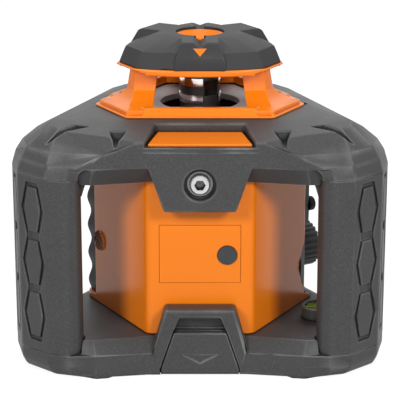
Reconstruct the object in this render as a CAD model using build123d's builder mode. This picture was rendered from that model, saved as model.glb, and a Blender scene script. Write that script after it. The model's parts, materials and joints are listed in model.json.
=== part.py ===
"""Rotary laser level: a three-cornered cage round a hexagonal housing, with a spinning head on top.

Millimetres, +Z up, front towards -Y. The origin is the mouth of the tripod thread, on the
base plane. Three posts stand at the corner directions and three main faces lie between them.
"""

import os
from math import cos, hypot, radians, sin, sqrt, tan

from build123d import *

os.makedirs("parts", exist_ok=True)

# Directions, degrees about Z
CORNERS = (210, 330, 90)
SIDES = (270, 30, 150)
FRONT, KNOB_SIDE, KEY_SIDE = SIDES
LEFT_CORNER, RIGHT_CORNER, REAR_CORNER = CORNERS

# Fits
SEAT = 0.15
RUN = 0.05
GAP = 0.4

# Cage outline: corner sizes out and across, side sizes out and along
POST_REACH = 106.5
FACET_REACH, FACET_HALF = 100.5, 19.5
CORNER_REACH, CORNER_HALF = 93.0, 27.3
SIDE_OUT, SIDE_FLAT_HALF = 66.0, 24.0
SHOULDER_OUT, SHOULDER_HALF = 70.0, 53.0
REVEAL_OUT, REVEAL_FLAT_HALF = 58.0, 27.0
REVEAL_SHOULDER_OUT, REVEAL_SHOULDER_HALF = 64.0, 55.0

# Posts
POST_BACK, POST_BACK_HALF, POST_BEVEL_REACH = 81.2, 22.0, 86.0
GUSSET_REACH, GUSSET_H = 2.5, 7.0
HEX_COUNT, HEX_PITCH = 3, 26.5
HEX_WIDTH, HEX_HEIGHT, HEX_FLAT = 15.5, 24.5, 7.5
HEX_GROOVE, HEX_DEPTH = 1.7, 0.9
HEX_OFFSET, HEX_LIFT = 11.4, 1.0

# Heights of the cage
BASE_JOINT = 12.5
FLOOR_Z = 19.0
CEILING_Z = 101.5
SHELL_JOINT = 105.0
ARCH_Z = 111.0
FOOT_EDGE, FOOT_LEVELS = 6.5, (0.0, 1.3, 6.5)
UNDERSIDE = 0.6
FOOT_HALF, FOOT_SLOPE = 45.0, 2.0
PLATFORM_OUT = 46.0

# Housing
HOUSING_OUT, HOUSING_CORNER_OUT = 55.4, 51.2
HOUSING_WALL, HOUSING_ROUND = 4.5, 5.0
HOUSING_TOP = 107.0

# Roof of the top shell
ROOF_Z = 130.0
ROOF_OUT, ROOF_SLOPE, REAR_ROOF_SLOPE = 41.4, 0.228, 0.16
BROW_OUT, BROW_Z, BROW_SLOPE, BROW_FALL = 78.6, 129.3, 0.137, 0.159
REAR_BROW_OUT, REAR_BROW_Z, REAR_BROW_SLOPE, REAR_BROW_FALL = 78.6, 133.0, 0.336, 0.42
SHOULDER_ARC_R, SHOULDER_FOOT, SHOULDER_LEANS = 24.0, 102.0, (50, 32, 16)
ROOF_UNDER, DECK_SEAT = 119.0, 126.6
WELL_OUT = 33.0

# Gills in the roof beside the front shelf and on the brows
GILL_FLOOR, GILL_POINTS = 121.3, ((54.0, 37.0), (70.0, 42.0), (54.0, 45.0))
SLASH_OUT, SLASH_FLOOR, SLASH_TILT = 74.5, 125.6, 15.0
SLASH_POINTS = ((7.8, -2.3), (14.1, 2.3), (10.0, -25.0))

# Lugs of the base and shields of the shell, which clamp the housing
LUG_OUT = 66.0
BASE_LUG_TOP, BASE_LUG_TOP_HALF, BASE_LUG_FOOT_HALF = 36.0, 17.9, 24.4
SHIELD_FOOT, SHIELD_FOOT_HALF, SHIELD_WAIST_HALF, SHIELD_TOP_HALF = 88.0, 18.0, 25.5, 31.0
SHIELD_WAIST, SHIELD_TOP, SHIELD_OUT = 110.0, 119.0, 66.6
SCREW_Z, SCREW_RECESS_R, SCREW_RECESS_DEPTH = 102.0, 8.0, 4.4

# Badge shelf at the front of the roof
SHELF_BACK, SHELF_BACK_HALF, SHELF_BACK_Z = 46.0, 22.5, 123.0
SHELF_FRONT_HALF, SHELF_TILT = 27.5, 5.0
BADGE_THICK, BADGE_MARGIN, BADGE_FRONT = 1.5, 1.2, 64.5

# Lantern
FLANGE_OUT, FLANGE_CORNER_OUT, FLANGE_THICK, FLANGE_ROUND = 41.4, 53.5, 1.2, 3.0
MOUTH_OUT, MOUTH_CORNER_OUT = 35.5, 38.5
SILL_TOP, SILL_FOOT_OUT, SILL_TOP_OUT, SILL_CORNER_OUT = 134.8, 41.0, 38.2, 46.0
HEAD_Z, HEAD_RING_H = 150.0, 3.4
HEAD_BOW_OUT, HEAD_EDGE_OUT, HEAD_EDGE_HALF = 36.5, 30.0, 34.0
HEAD_BORE_R, HEAD_LIP, HEAD_LIP_START = 14.0, 0.9, 36.0

# Legs: nose and flare of the foot, window edges on the sides, steps up the leg
LEG_FOOT, LEG_TOP, LEG_STEPS = 133.3, 151.6, (0.0, 0.08, 0.2, 0.4, 1.0)
LEG_NOSE, LEG_NOSE_HALF, LEG_FLARE_OUT, LEG_FLARE_HALF, LEG_FLARE_POWER = 40.4, 2.6, 11.4, 12.4, 4.4
WINDOW_TOP_HALF, WINDOW_FOOT_HALF = 20.5, 24.0

# Cap on the lantern
CAP_STEP = 0.8
CAP_BAND_TOP, CAP_TOP = 161.5, 167.0
CAP_BAND_INSET, CAP_CROWN_R = 2.8, 19.0
CAP_LOBE_OUT, CAP_LOBE_Z, CAP_LOBE_SLOPE = 43.4, 154.5, 1.6

# Sections of a sight block on the cap: height, reach, half width
BLOCK_SECTIONS = ((153.4, 35.7, 13.0), (160.0, 35.2, 12.3), (166.0, 32.3, 10.0), (167.0, 30.5, 9.2))
APERTURE_R, APERTURE_BORE_R, APERTURE_Z, APERTURE_SEAT = 12.6, 7.0, 165.6, 158.0
GLASS_THICK, GLASS_R = 2.0, 9.0
SIGHT_HALF, SIGHT_DEPTH = 3.4, 3.0

# Deck under the rotor
DECK_OUT, DECK_CORNER_OUT, DECK_THICK, DECK_HOLE_R = 36.5, 40.5, 3.0, 20.9

# Levelling gimbal
PIVOT_Z, PIVOT_PIN_R = 78.0, 1.5
RING_IN, RING_OUT, RING_H = 22.0, 27.0, 8.0
EAR_IN, EAR_THICK, EAR_HALF = 29.0, 4.0, 5.0
PLATE_Z, PLATE_THICK, PLATE_OUT, PLATE_CORNER_OUT, PLATE_HOLE = 58.0, 3.0, 37.0, 42.0, 24.0
PILLAR_R, PILLAR_OUT, PILLARS = 4.0, 38.0, (210, 330, 60, 120)
ARM_X, ARM_Y = 40.0, 39.0
ARM_THICK, FORK_OUT_HALF = 3.0, 8.5
MODULE_ARM_Z = 89.0
ROD_R, ROD_TOP = 1.5, 99.0
NUT_NECK_HALF, NUT_FLANGE_HALF, NUT_FLANGE_H = 2.8, 6.4, 1.6
NUT_PLAY, FORK_PLAY = 1.1, 1.8
LEVEL_MOTOR_HALF, LEVEL_MOTOR_H = 5.0, 18.0

# Laser module and rotor
TUBE_HALF, TUBE_BOTTOM, TUBE_BORE = 12.0, 46.0, 9.0
COLLAR_OUT, COLLAR_H = 18.0, 8.0
BRIDGE_Z, BRIDGE_THICK = 97.0, 3.0
BEARING_OUT_R, BEARING_IN_R, BEARING_H = 8.0, 5.0, 4.0
LOWER_BEARING_Z, UPPER_BEARING_Z = 101.0, 107.5
CARTRIDGE_HALF = 10.5
PULLEY_Z, PULLEY_H, ROTOR_PULLEY_R, MOTOR_PULLEY_R = 113.5, 4.0, 9.0, 4.5
BELT_THICK, BELT_GAP = 1.0, 0.15
MOTOR_OUT, MOTOR_HALF, MOTOR_H, MOTOR_SHAFT_R = 24.0, 7.5, 10.0, 1.0
ROTOR_R, ROTOR_BOTTOM, ROTOR_TOP, ROTOR_NECK_R, ROTOR_AIM = 10.5, 125.0, 147.0, 6.5, 305
ROTOR_BAND_H, ROTOR_BAND_LOW, ROTOR_BAND_HIGH, ROTOR_BAND_THICK = 4.2, 130.5, 139.5, 0.5
WINDOW_HALF, PRISM_Z, WINDOW_OUT, WINDOW_THICK = 4.0, 138.5, 8.5, 1.2
SPINDLE_BORE = 3.0
DIODE_H, SINK_HALF, SINK_H, SINK_FINS, SINK_WEB = 8.0, 11.0, 10.0, 4, 8.0
LENS_H = 4.0

# Keypad on the left rear face, set into a recess that wraps its two edges
MAT_RECESS, MAT_THICK, MAT_WRAP = 3.0, 0.8, 10.0
MAT_LOW, MAT_HIGH = 23.0, 98.5
KEY_ROWS, KEY_PITCH, KEY_FIRST = 4, 15.7, 28.6
KEY_COLUMNS = (-12.0, 12.0)
MAT_CREST, MAT_RIDGE_H, MAT_RIDGE_LEAN = 0.5, 11.0, 17.0
KEY_LENGTH, KEY_HEIGHT, KEY_CORNER, KEY_PROUD, KEY_TRAVEL = 17.0, 8.0, 2.4, 1.8, 1.0
KEY_STEM_HALF = 2.5
PCB_THICK, PCB_HALF, PCB_LOW, PCB_HIGH = 1.6, 22.0, 24.0, 88.0
BOARD_GAP, BOARD_LUG_HALF, SWITCH_H, SWITCH_SIZE = 5.0, 3.0, 2.5, 6.0

# Knob on the right rear face, in a round dish
DISH_R, DISH_ALONG, DISH_Z, DISH_FLOOR, DISH_BACK = 32.0, -3.0, 39.5, 47.0, 42.0
KNOB_R, KNOB_H, KNOB_FLUTES = 12.5, 17.6, 24
FLUTE_SHARES = ((0.0, 0.0), (0.5, 0.0), (0.62, 0.9), (0.88, 0.9))
KNOB_ALONG, KNOB_Z, KNOB_SHAFT_R, KNOB_SHAFT_L = -8.0, 43.0, 3.0, 8.0
ENCODER_HALF, ENCODER_H = 5.0, 6.0
POWER_ALONG, POWER_Z, POWER_R, POWER_PROUD = -22.5, 70.5, 3.9, 2.2
POWER_STEM_R, POWER_STEM = 2.5, 0.8

# Label, receiver eye and charge socket
LABEL_HALF, LABEL_LOW, LABEL_HIGH, LABEL_DEPTH = 20.8, 47.0, 78.0, 0.5
EYE_ALONG, EYE_Z, EYE_R, EYE_DEPTH, EYE_PROUD = 13.9, 62.0, 5.1, 2.5, 0.6
SOCKET_Z, SOCKET_ACROSS, SOCKET_R, SOCKET_RIM = 55.0, -18.4, 5.5, 1.0
JACK_HALF, JACK_DEPTH, JACK_BORE_R = 4.3, 9.0, 2.8

# Circular vial on the floor
VIAL_OUT, VIAL_ACROSS, VIAL_R, VIAL_H = 68.0, 6.0, 8.0, 6.5
VIAL_WALL, VIAL_LENS_H = 1.6, 1.6

# Battery bay and hatch
HATCH_HIGH = 23.6
HATCH_FOOT_HALF, HATCH_TOP_HALF, HATCH_THICK = 20.0, 13.5, 3.5
FINGER_TOP, FINGER_HALF, FINGER_DEPTH = 31.0, 11.0, 7.0
HINGE_PIN_R, HINGE_PIN_L = 1.0, 2.5
BAY_HALF, BAY_BACK, BAY_FLOOR, BAY_TOP = 16.0, 17.0, 4.5, 17.4
PACK_MARGIN, PACK_BACK = 0.4, 21.0
CONTACT_THICK, CONTACT_HALF, CONTACT_ALONG = 0.6, 3.0, 8.0
ARROW_HALF, ARROW_TOP, ARROW_TIP, ARROW_DEPTH = 8.5, 11.6, 7.0, 0.5

# Tripod thread insert, 5/8"-11
INSERT_HALF, INSERT_FLANGE_HALF, INSERT_H, INSERT_FLANGE_H = 11.0, 13.0, 15.0, 2.0
THREAD_R, THREAD_DEPTH = 6.9, 13.0

ROOT3 = sqrt(3)


def corner_plane(angle, z=0.0):
    """Level plane whose X runs out along a direction."""
    a = radians(angle)
    return Plane(origin=(0, 0, z), x_dir=(cos(a), sin(a), 0), z_dir=(0, 0, 1))


def side_plane(angle, out):
    """Upright plane facing out along a direction: X along the side, Y up."""
    a = radians(angle)
    return Plane(
        origin=(out * cos(a), out * sin(a), 0),
        x_dir=(-sin(a), cos(a), 0),
        z_dir=(cos(a), sin(a), 0),
    )


def radial_plane(angle):
    """Upright plane through the axis: X out along a direction, Y up."""
    a = radians(angle)
    return Plane(origin=(0, 0, 0), x_dir=(cos(a), sin(a), 0), z_dir=(sin(a), -cos(a), 0))


def place(angle, out, across):
    """Point given out along and across a direction."""
    a = radians(angle)
    return (out * cos(a) - across * sin(a), out * sin(a) + across * cos(a))


def from_side(half, out):
    """Point of a side, half along it, in the frame of the corner next to it."""
    return (out / 2 + half * ROOT3 / 2, out * ROOT3 / 2 - half / 2)


def round_corners(half_corner, tip):
    """Points round the axis from one half corner, mirrored and repeated for each corner."""
    points = []
    for corner in CORNERS:
        points.extend(place(corner, out, -across) for out, across in half_corner)
        if tip:
            points.append(place(corner, tip, 0))
        points.extend(place(corner, out, across) for out, across in reversed(half_corner))
    return points


def hexagon(main_out, corner_out, rounding=0.0, mode=Mode.ADD):
    """Hexagon face with three main sides and three corner sides."""
    half = (2 * main_out - corner_out) / ROOT3
    points = round_corners([(corner_out, half)], 0)
    with BuildLine() as outline:
        if rounding:
            FilletPolyline(*points, radius=rounding, close=True)
        else:
            Polyline(*points, close=True)
    make_face(outline.edges(), mode=mode)


def housing_outline(inset, mode=Mode.ADD):
    """Outline of the housing, rounded at its skin, or drawn in all round with sharp corners."""
    rounding = HOUSING_ROUND if inset <= 0 else 0.0
    hexagon(HOUSING_OUT - inset, HOUSING_CORNER_OUT - inset, rounding, mode)


def octagon(apothem, mode=Mode.ADD):
    """Regular octagon with a flat side towards each axis."""
    RegularPolygon(apothem, 8, major_radius=False, rotation=22.5, mode=mode)


def nut_hexagon(apothem):
    """Regular hexagon with flat sides towards the front and the back."""
    RegularPolygon(apothem, 6, major_radius=False)


def side_box(side, near, far, half, mode=Mode.ADD):
    """Rectangle on a level sketch, out along a side's direction."""
    Polygon(
        place(side, near, -half),
        place(side, far, -half),
        place(side, far, half),
        place(side, near, half),
        align=None,
        mode=mode,
    )


def cage_face(inset=0.0):
    """Outline of the cage, its corners drawn in by an inset."""
    draw = 1 - inset / POST_REACH
    half_corner = [
        from_side(SIDE_FLAT_HALF, SIDE_OUT),
        from_side(SHOULDER_HALF, SHOULDER_OUT),
        (CORNER_REACH * draw, CORNER_HALF * draw),
        (FACET_REACH * draw, FACET_HALF * draw),
    ]
    Polygon(*round_corners(half_corner, POST_REACH * draw), align=None)


def reveal_face(flat_half, out, shoulder_half, shoulder_out):
    """Outline of the sloped frame round the openings, closed under the posts."""
    half_corner = [
        from_side(flat_half, out),
        from_side(shoulder_half, shoulder_out),
        (CORNER_REACH, FACET_HALF),
    ]
    Polygon(*round_corners(half_corner, 0), align=None)


def post_face(grow=0.0):
    """Section of a post in its corner's frame."""
    half = [
        (POST_BACK, POST_BACK_HALF),
        (POST_BEVEL_REACH, CORNER_HALF),
        (CORNER_REACH, CORNER_HALF),
        (FACET_REACH, FACET_HALF),
    ]
    points = [(out, -across) for out, across in half]
    points.append((POST_REACH, 0))
    points.extend((out, across) for out, across in reversed(half))
    Polygon(*points, align=None)
    if grow:
        offset(amount=grow, kind=Kind.INTERSECTION)


def head_face(scale=1.0):
    """Outline of the head: three bowed sides joined by short corner sides."""
    out, across = from_side(HEAD_EDGE_HALF * scale, HEAD_EDGE_OUT * scale)
    with BuildLine() as outline:
        for corner in CORNERS:
            last = place(corner, out, across)
            Line(place(corner, out, -across), last)
            bow = place(corner + 60, HEAD_BOW_OUT * scale, 0)
            ThreePointArc(last, bow, place(corner + 120, out, -across))
    make_face(outline.edges())


def side_trapezoid(low, low_half, high, high_half):
    """Upright trapezoid on a side's plane."""
    Polygon((-low_half, low), (low_half, low), (high_half, high), (-high_half, high), align=None)


def leg_face(rise):
    """Section of a lantern leg at a share of its height, in its corner's frame."""
    flare = (1 - rise) ** LEG_FLARE_POWER
    nose = LEG_NOSE + LEG_FLARE_OUT * flare
    nose_half = LEG_NOSE_HALF + LEG_FLARE_HALF * flare
    flank_out = nose / 2 + nose_half * ROOT3 / 2
    window_half = WINDOW_FOOT_HALF + (WINDOW_TOP_HALF - WINDOW_FOOT_HALF) * rise
    inner, inner_half = from_side(window_half, flank_out)
    Polygon(
        (inner, -inner_half),
        (nose, -nose_half),
        (nose, nose_half),
        (inner, inner_half),
        align=None,
    )


def key_outline(grow=0.0):
    """Key outline with cut corners, grown all round."""
    long = KEY_LENGTH / 2 + grow
    tall = KEY_HEIGHT / 2 + grow
    Polygon(
        (-long + KEY_CORNER, -tall),
        (long - KEY_CORNER, -tall),
        (long, -tall + KEY_CORNER),
        (long, tall - KEY_CORNER),
        (long - KEY_CORNER, tall),
        (-long + KEY_CORNER, tall),
        (-long, tall - KEY_CORNER),
        (-long, -tall + KEY_CORNER),
        align=None,
    )


def save(piece, name):
    """Label a finished piece and write it."""
    piece.part.label = name
    export_step(piece.part, f"parts/{name}.step")


# Base: foot ring, floor with its sloped frame, front lug, thread seat and battery bay
hatch_knee = UNDERSIDE + HATCH_THICK
with BuildPart() as base_tray:
    with BuildSketch(Plane.XY.offset(BASE_JOINT)):
        reveal_face(SIDE_FLAT_HALF, SIDE_OUT, SHOULDER_HALF, SHOULDER_OUT)
    with BuildSketch(Plane.XY.offset(FLOOR_Z)):
        reveal_face(REVEAL_FLAT_HALF, REVEAL_OUT, REVEAL_SHOULDER_HALF, REVEAL_SHOULDER_OUT)
    loft(ruled=True)
    for corner in CORNERS:
        with BuildSketch(corner_plane(corner, BASE_JOINT)):
            post_face(SEAT)
        extrude(amount=FLOOR_Z, mode=Mode.SUBTRACT)
    for z in (*FOOT_LEVELS, BASE_JOINT):
        rise = max(FOOT_EDGE - z, 0)
        with BuildSketch(Plane.XY.offset(z)):
            cage_face(FOOT_EDGE - sqrt(FOOT_EDGE**2 - rise**2))
    loft(ruled=True)
    with BuildSketch(side_plane(FRONT, LUG_OUT)):
        side_trapezoid(BASE_JOINT, BASE_LUG_FOOT_HALF, BASE_LUG_TOP, BASE_LUG_TOP_HALF)
    extrude(amount=HOUSING_OUT + SEAT - LUG_OUT)
    for side in SIDES:
        with BuildSketch(side_plane(side, PLATFORM_OUT)):
            with BuildLine():
                Polyline(
                    (-FOOT_HALF - FOOT_SLOPE, 0),
                    (FOOT_HALF + FOOT_SLOPE, 0),
                    (FOOT_HALF, UNDERSIDE),
                    (-FOOT_HALF, UNDERSIDE),
                    close=True,
                )
            make_face()
        extrude(amount=SHOULDER_OUT, mode=Mode.SUBTRACT)
    with BuildSketch(Plane.XY):
        nut_hexagon(INSERT_HALF + SEAT)
    extrude(amount=FLOOR_Z, mode=Mode.SUBTRACT)
    with BuildSketch(Plane.XY.offset(INSERT_H - INSERT_FLANGE_H)):
        nut_hexagon(INSERT_FLANGE_HALF + SEAT)
    extrude(amount=FLOOR_Z, mode=Mode.SUBTRACT)
    with BuildSketch(side_plane(FRONT, BAY_BACK)):
        with Locations((0, (BAY_FLOOR + BAY_TOP) / 2)):
            Rectangle(2 * BAY_HALF, BAY_TOP - BAY_FLOOR)
    extrude(amount=LUG_OUT - HATCH_THICK - BAY_BACK, mode=Mode.SUBTRACT)
    with BuildSketch(side_plane(FRONT, LUG_OUT)):
        with BuildLine():
            Polyline(
                (-HATCH_FOOT_HALF - GAP, 0),
                (HATCH_FOOT_HALF + GAP, 0),
                (HATCH_FOOT_HALF + GAP, hatch_knee + GAP),
                (HATCH_TOP_HALF + GAP, HATCH_HIGH + GAP),
                (-HATCH_TOP_HALF - GAP, HATCH_HIGH + GAP),
                (-HATCH_FOOT_HALF - GAP, hatch_knee + GAP),
                close=True,
            )
        make_face()
    extrude(amount=-HATCH_THICK - GAP, mode=Mode.SUBTRACT)
    with BuildSketch(side_plane(FRONT, LUG_OUT)):
        with BuildLine():
            Polyline(
                (-HATCH_TOP_HALF - GAP, HATCH_HIGH),
                (HATCH_TOP_HALF + GAP, HATCH_HIGH),
                (FINGER_HALF, FINGER_TOP),
                (-FINGER_HALF, FINGER_TOP),
                close=True,
            )
        make_face()
    extrude(amount=-FINGER_DEPTH, mode=Mode.SUBTRACT)
    hinge_out = LUG_OUT - HATCH_THICK / 2
    hinge_z = UNDERSIDE + HATCH_THICK / 2
    with BuildSketch(Plane.YZ.offset(-HATCH_FOOT_HALF - HINGE_PIN_L - GAP)):
        with Locations((-hinge_out, hinge_z)):
            Circle(HINGE_PIN_R + RUN)
    extrude(amount=2 * (HATCH_FOOT_HALF + HINGE_PIN_L + GAP), mode=Mode.SUBTRACT)
save(base_tray, "base_tray")

# Battery hatch, turning outwards on pins along its foot
with BuildPart() as battery_hatch:
    with BuildSketch(side_plane(FRONT, LUG_OUT)):
        with BuildLine():
            Polyline(
                (-HATCH_FOOT_HALF, UNDERSIDE),
                (HATCH_FOOT_HALF, UNDERSIDE),
                (HATCH_FOOT_HALF, hatch_knee),
                (HATCH_TOP_HALF, HATCH_HIGH),
                (-HATCH_TOP_HALF, HATCH_HIGH),
                (-HATCH_FOOT_HALF, hatch_knee),
                close=True,
            )
        make_face()
    extrude(amount=-HATCH_THICK)
    foot_edges = battery_hatch.edges().filter_by(Axis.X).group_by(Axis.Z)[0]
    fillet(foot_edges, HATCH_THICK * 0.48)
    with BuildSketch(side_plane(FRONT, LUG_OUT)):
        with BuildLine():
            Polyline((-ARROW_HALF, ARROW_TOP), (ARROW_HALF, ARROW_TOP), (0, ARROW_TIP), close=True)
        make_face()
    extrude(amount=-ARROW_DEPTH, mode=Mode.SUBTRACT)
    with BuildSketch(Plane.YZ.offset(-HATCH_FOOT_HALF - HINGE_PIN_L)):
        with Locations((-hinge_out, hinge_z)):
            Circle(HINGE_PIN_R)
    extrude(amount=2 * (HATCH_FOOT_HALF + HINGE_PIN_L))
save(battery_hatch, "battery_hatch")

# Battery pack and its two spring contacts
with BuildPart() as battery_pack:
    with BuildSketch(Plane.XY.offset(BAY_FLOOR)):
        pack_front = LUG_OUT - HATCH_THICK - GAP - PACK_MARGIN
        with Locations((0, -(pack_front + PACK_BACK) / 2)):
            Rectangle(2 * (BAY_HALF - PACK_MARGIN), pack_front - PACK_BACK)
    extrude(amount=BAY_TOP - BAY_FLOOR - PACK_MARGIN)
    chamfer(battery_pack.faces().sort_by(Axis.Z)[-1].edges(), 0.8)
save(battery_pack, "battery_pack")

with BuildPart() as battery_contacts:
    for along in (-CONTACT_ALONG, CONTACT_ALONG):
        with BuildSketch(Plane.YZ.offset(along - CONTACT_HALF)):
            with BuildLine():
                spring_reach = PACK_BACK - SEAT
                Polyline(
                    (-BAY_BACK, BAY_FLOOR),
                    (-BAY_BACK, BAY_TOP - 3),
                    (-spring_reach, (BAY_FLOOR + BAY_TOP) / 2),
                    (-BAY_BACK - CONTACT_THICK, BAY_FLOOR + 3),
                    (-BAY_BACK - CONTACT_THICK, BAY_FLOOR),
                    close=True,
                )
            make_face()
        extrude(amount=2 * CONTACT_HALF)
save(battery_contacts, "battery_contacts")

# Brass tripod insert, hexagonal so that it can't turn in the base
with BuildPart() as tripod_insert:
    with BuildSketch(Plane.XY):
        nut_hexagon(INSERT_HALF)
    extrude(amount=INSERT_H)
    with BuildSketch(Plane.XY.offset(INSERT_H - INSERT_FLANGE_H)):
        nut_hexagon(INSERT_FLANGE_HALF)
    extrude(amount=INSERT_FLANGE_H)
    with BuildSketch(Plane.XY):
        Circle(THREAD_R)
    extrude(amount=THREAD_DEPTH, mode=Mode.SUBTRACT)
save(tripod_insert, "tripod_insert")

# Posts, each with a chain of hexagons grooved into its two facets
facet_length = hypot(POST_REACH - FACET_REACH, FACET_HALF)
facet_in = (FACET_REACH - POST_REACH) / facet_length
facet_across = FACET_HALF / facet_length
hex_middle = (BASE_JOINT + SHELL_JOINT) / 2 + HEX_LIFT
gusset_top = CEILING_Z - SEAT


def hexagon_points(shrink):
    """Corners of the tall hexagon grooved into the posts."""
    tip = HEX_WIDTH / 2 - shrink
    flat = HEX_FLAT / 2 - shrink / 2
    top = HEX_HEIGHT / 2 - shrink
    return [(-tip, 0), (-flat, -top), (flat, -top), (tip, 0), (flat, top), (-flat, top)]


def make_post(angle, name):
    """One post of the cage."""
    with BuildPart() as post:
        with BuildSketch(corner_plane(angle, BASE_JOINT)):
            post_face()
        extrude(amount=SHELL_JOINT - BASE_JOINT)
        for hand in (-1, 1):
            start = place(angle, POST_REACH + HEX_OFFSET * facet_in, hand * HEX_OFFSET * facet_across)
            normal = place(angle, facet_across, -hand * facet_in)
            along = place(angle, hand * facet_in, facet_across)
            facet = Plane(origin=(*start, hex_middle), x_dir=(*along, 0), z_dir=(*normal, 0))
            with BuildSketch(facet):
                with GridLocations(1, HEX_PITCH, 1, HEX_COUNT):
                    Polygon(*hexagon_points(0), align=None)
                    Polygon(*hexagon_points(HEX_GROOVE), align=None, mode=Mode.SUBTRACT)
            extrude(amount=-HEX_DEPTH, mode=Mode.SUBTRACT)
        with BuildSketch(radial_plane(angle)):
            Polygon(
                (POST_BEVEL_REACH, gusset_top - GUSSET_H),
                (POST_BEVEL_REACH, gusset_top),
                (POST_BACK - GUSSET_REACH, gusset_top),
                (POST_BACK, gusset_top - GUSSET_H),
                align=None,
            )
        extrude(amount=POST_BACK_HALF, both=True)
    save(post, name)


make_post(LEFT_CORNER, "post_front_left")
make_post(RIGHT_CORNER, "post_front_right")
make_post(REAR_CORNER, "post_rear")

# Housing: hexagonal tube with recesses for the keypad, the knob dish, the label and the socket
mat_wrap_out = HOUSING_OUT - MAT_WRAP * ROOT3 / 2
mat_far = POST_BACK
mat_half = HOUSING_OUT
dish_centre = (DISH_ALONG, DISH_Z)
key_spots = [(along, KEY_FIRST + row * KEY_PITCH) for along in KEY_COLUMNS for row in range(KEY_ROWS)]
with BuildPart() as main_housing:
    with BuildSketch(Plane.XY.offset(FLOOR_Z)):
        housing_outline(0)
        housing_outline(HOUSING_WALL, Mode.SUBTRACT)
    extrude(amount=HOUSING_TOP - FLOOR_Z)
    for side in (KEY_SIDE, KNOB_SIDE):
        with BuildSketch(Plane.XY.offset(MAT_LOW)):
            side_box(side, mat_wrap_out, mat_far, mat_half)
            housing_outline(MAT_RECESS, Mode.SUBTRACT)
        extrude(amount=HOUSING_TOP - MAT_LOW, mode=Mode.SUBTRACT)
    with BuildSketch(side_plane(KNOB_SIDE, DISH_BACK)):
        with Locations(dish_centre):
            Circle(DISH_R)
    extrude(amount=HOUSING_OUT, mode=Mode.SUBTRACT)
    with BuildSketch(side_plane(KEY_SIDE, 0)):
        with Locations(*key_spots):
            Rectangle(2 * (KEY_STEM_HALF + GAP), 2 * (KEY_STEM_HALF + GAP))
    extrude(amount=HOUSING_OUT, mode=Mode.SUBTRACT)
    with BuildSketch(side_plane(KNOB_SIDE, 0)):
        with Locations((POWER_ALONG, POWER_Z)):
            octagon(POWER_STEM_R + GAP)
    extrude(amount=HOUSING_OUT, mode=Mode.SUBTRACT)
    with BuildSketch(side_plane(FRONT, HOUSING_OUT)):
        with Locations((0, (LABEL_LOW + LABEL_HIGH) / 2)):
            Rectangle(2 * LABEL_HALF, LABEL_HIGH - LABEL_LOW)
    extrude(amount=-LABEL_DEPTH, mode=Mode.SUBTRACT)
    with BuildSketch(side_plane(FRONT, HOUSING_OUT)):
        with Locations((EYE_ALONG, EYE_Z)):
            Circle(EYE_R)
    extrude(amount=-EYE_DEPTH, mode=Mode.SUBTRACT)
    with BuildSketch(side_plane(LEFT_CORNER, HOUSING_CORNER_OUT)):
        with Locations((SOCKET_ACROSS, SOCKET_Z)):
            Circle(SOCKET_R)
    extrude(amount=SOCKET_RIM)
    with BuildSketch(side_plane(LEFT_CORNER, HOUSING_CORNER_OUT + SOCKET_RIM)):
        with Locations((SOCKET_ACROSS, SOCKET_Z)):
            octagon(JACK_HALF + SEAT)
    extrude(amount=-JACK_DEPTH, mode=Mode.SUBTRACT)
save(main_housing, "main_housing")

# Top shell: arched frame, roof facets, shields, badge shelf, gills and the seat of the deck
def half_space(angle, out, across, z, normal_out, normal_across):
    """Keep what lies under a sloped plane, given in a direction's frame."""
    point = place(angle, out, across)
    normal = place(angle, normal_out, normal_across)
    split(bisect_by=Plane(origin=(*point, z), z_dir=(*normal, 1)), keep=Keep.BOTTOM)


def tilted_plane(angle, out, z, tilt):
    """Floor that falls outwards along a direction: X across it, -Y out and down."""
    a = radians(angle)
    fall = radians(tilt)
    return Plane(
        origin=(out * cos(a), out * sin(a), z),
        x_dir=(-sin(a), cos(a), 0),
        z_dir=(sin(fall) * cos(a), sin(fall) * sin(a), cos(fall)),
    )


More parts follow.
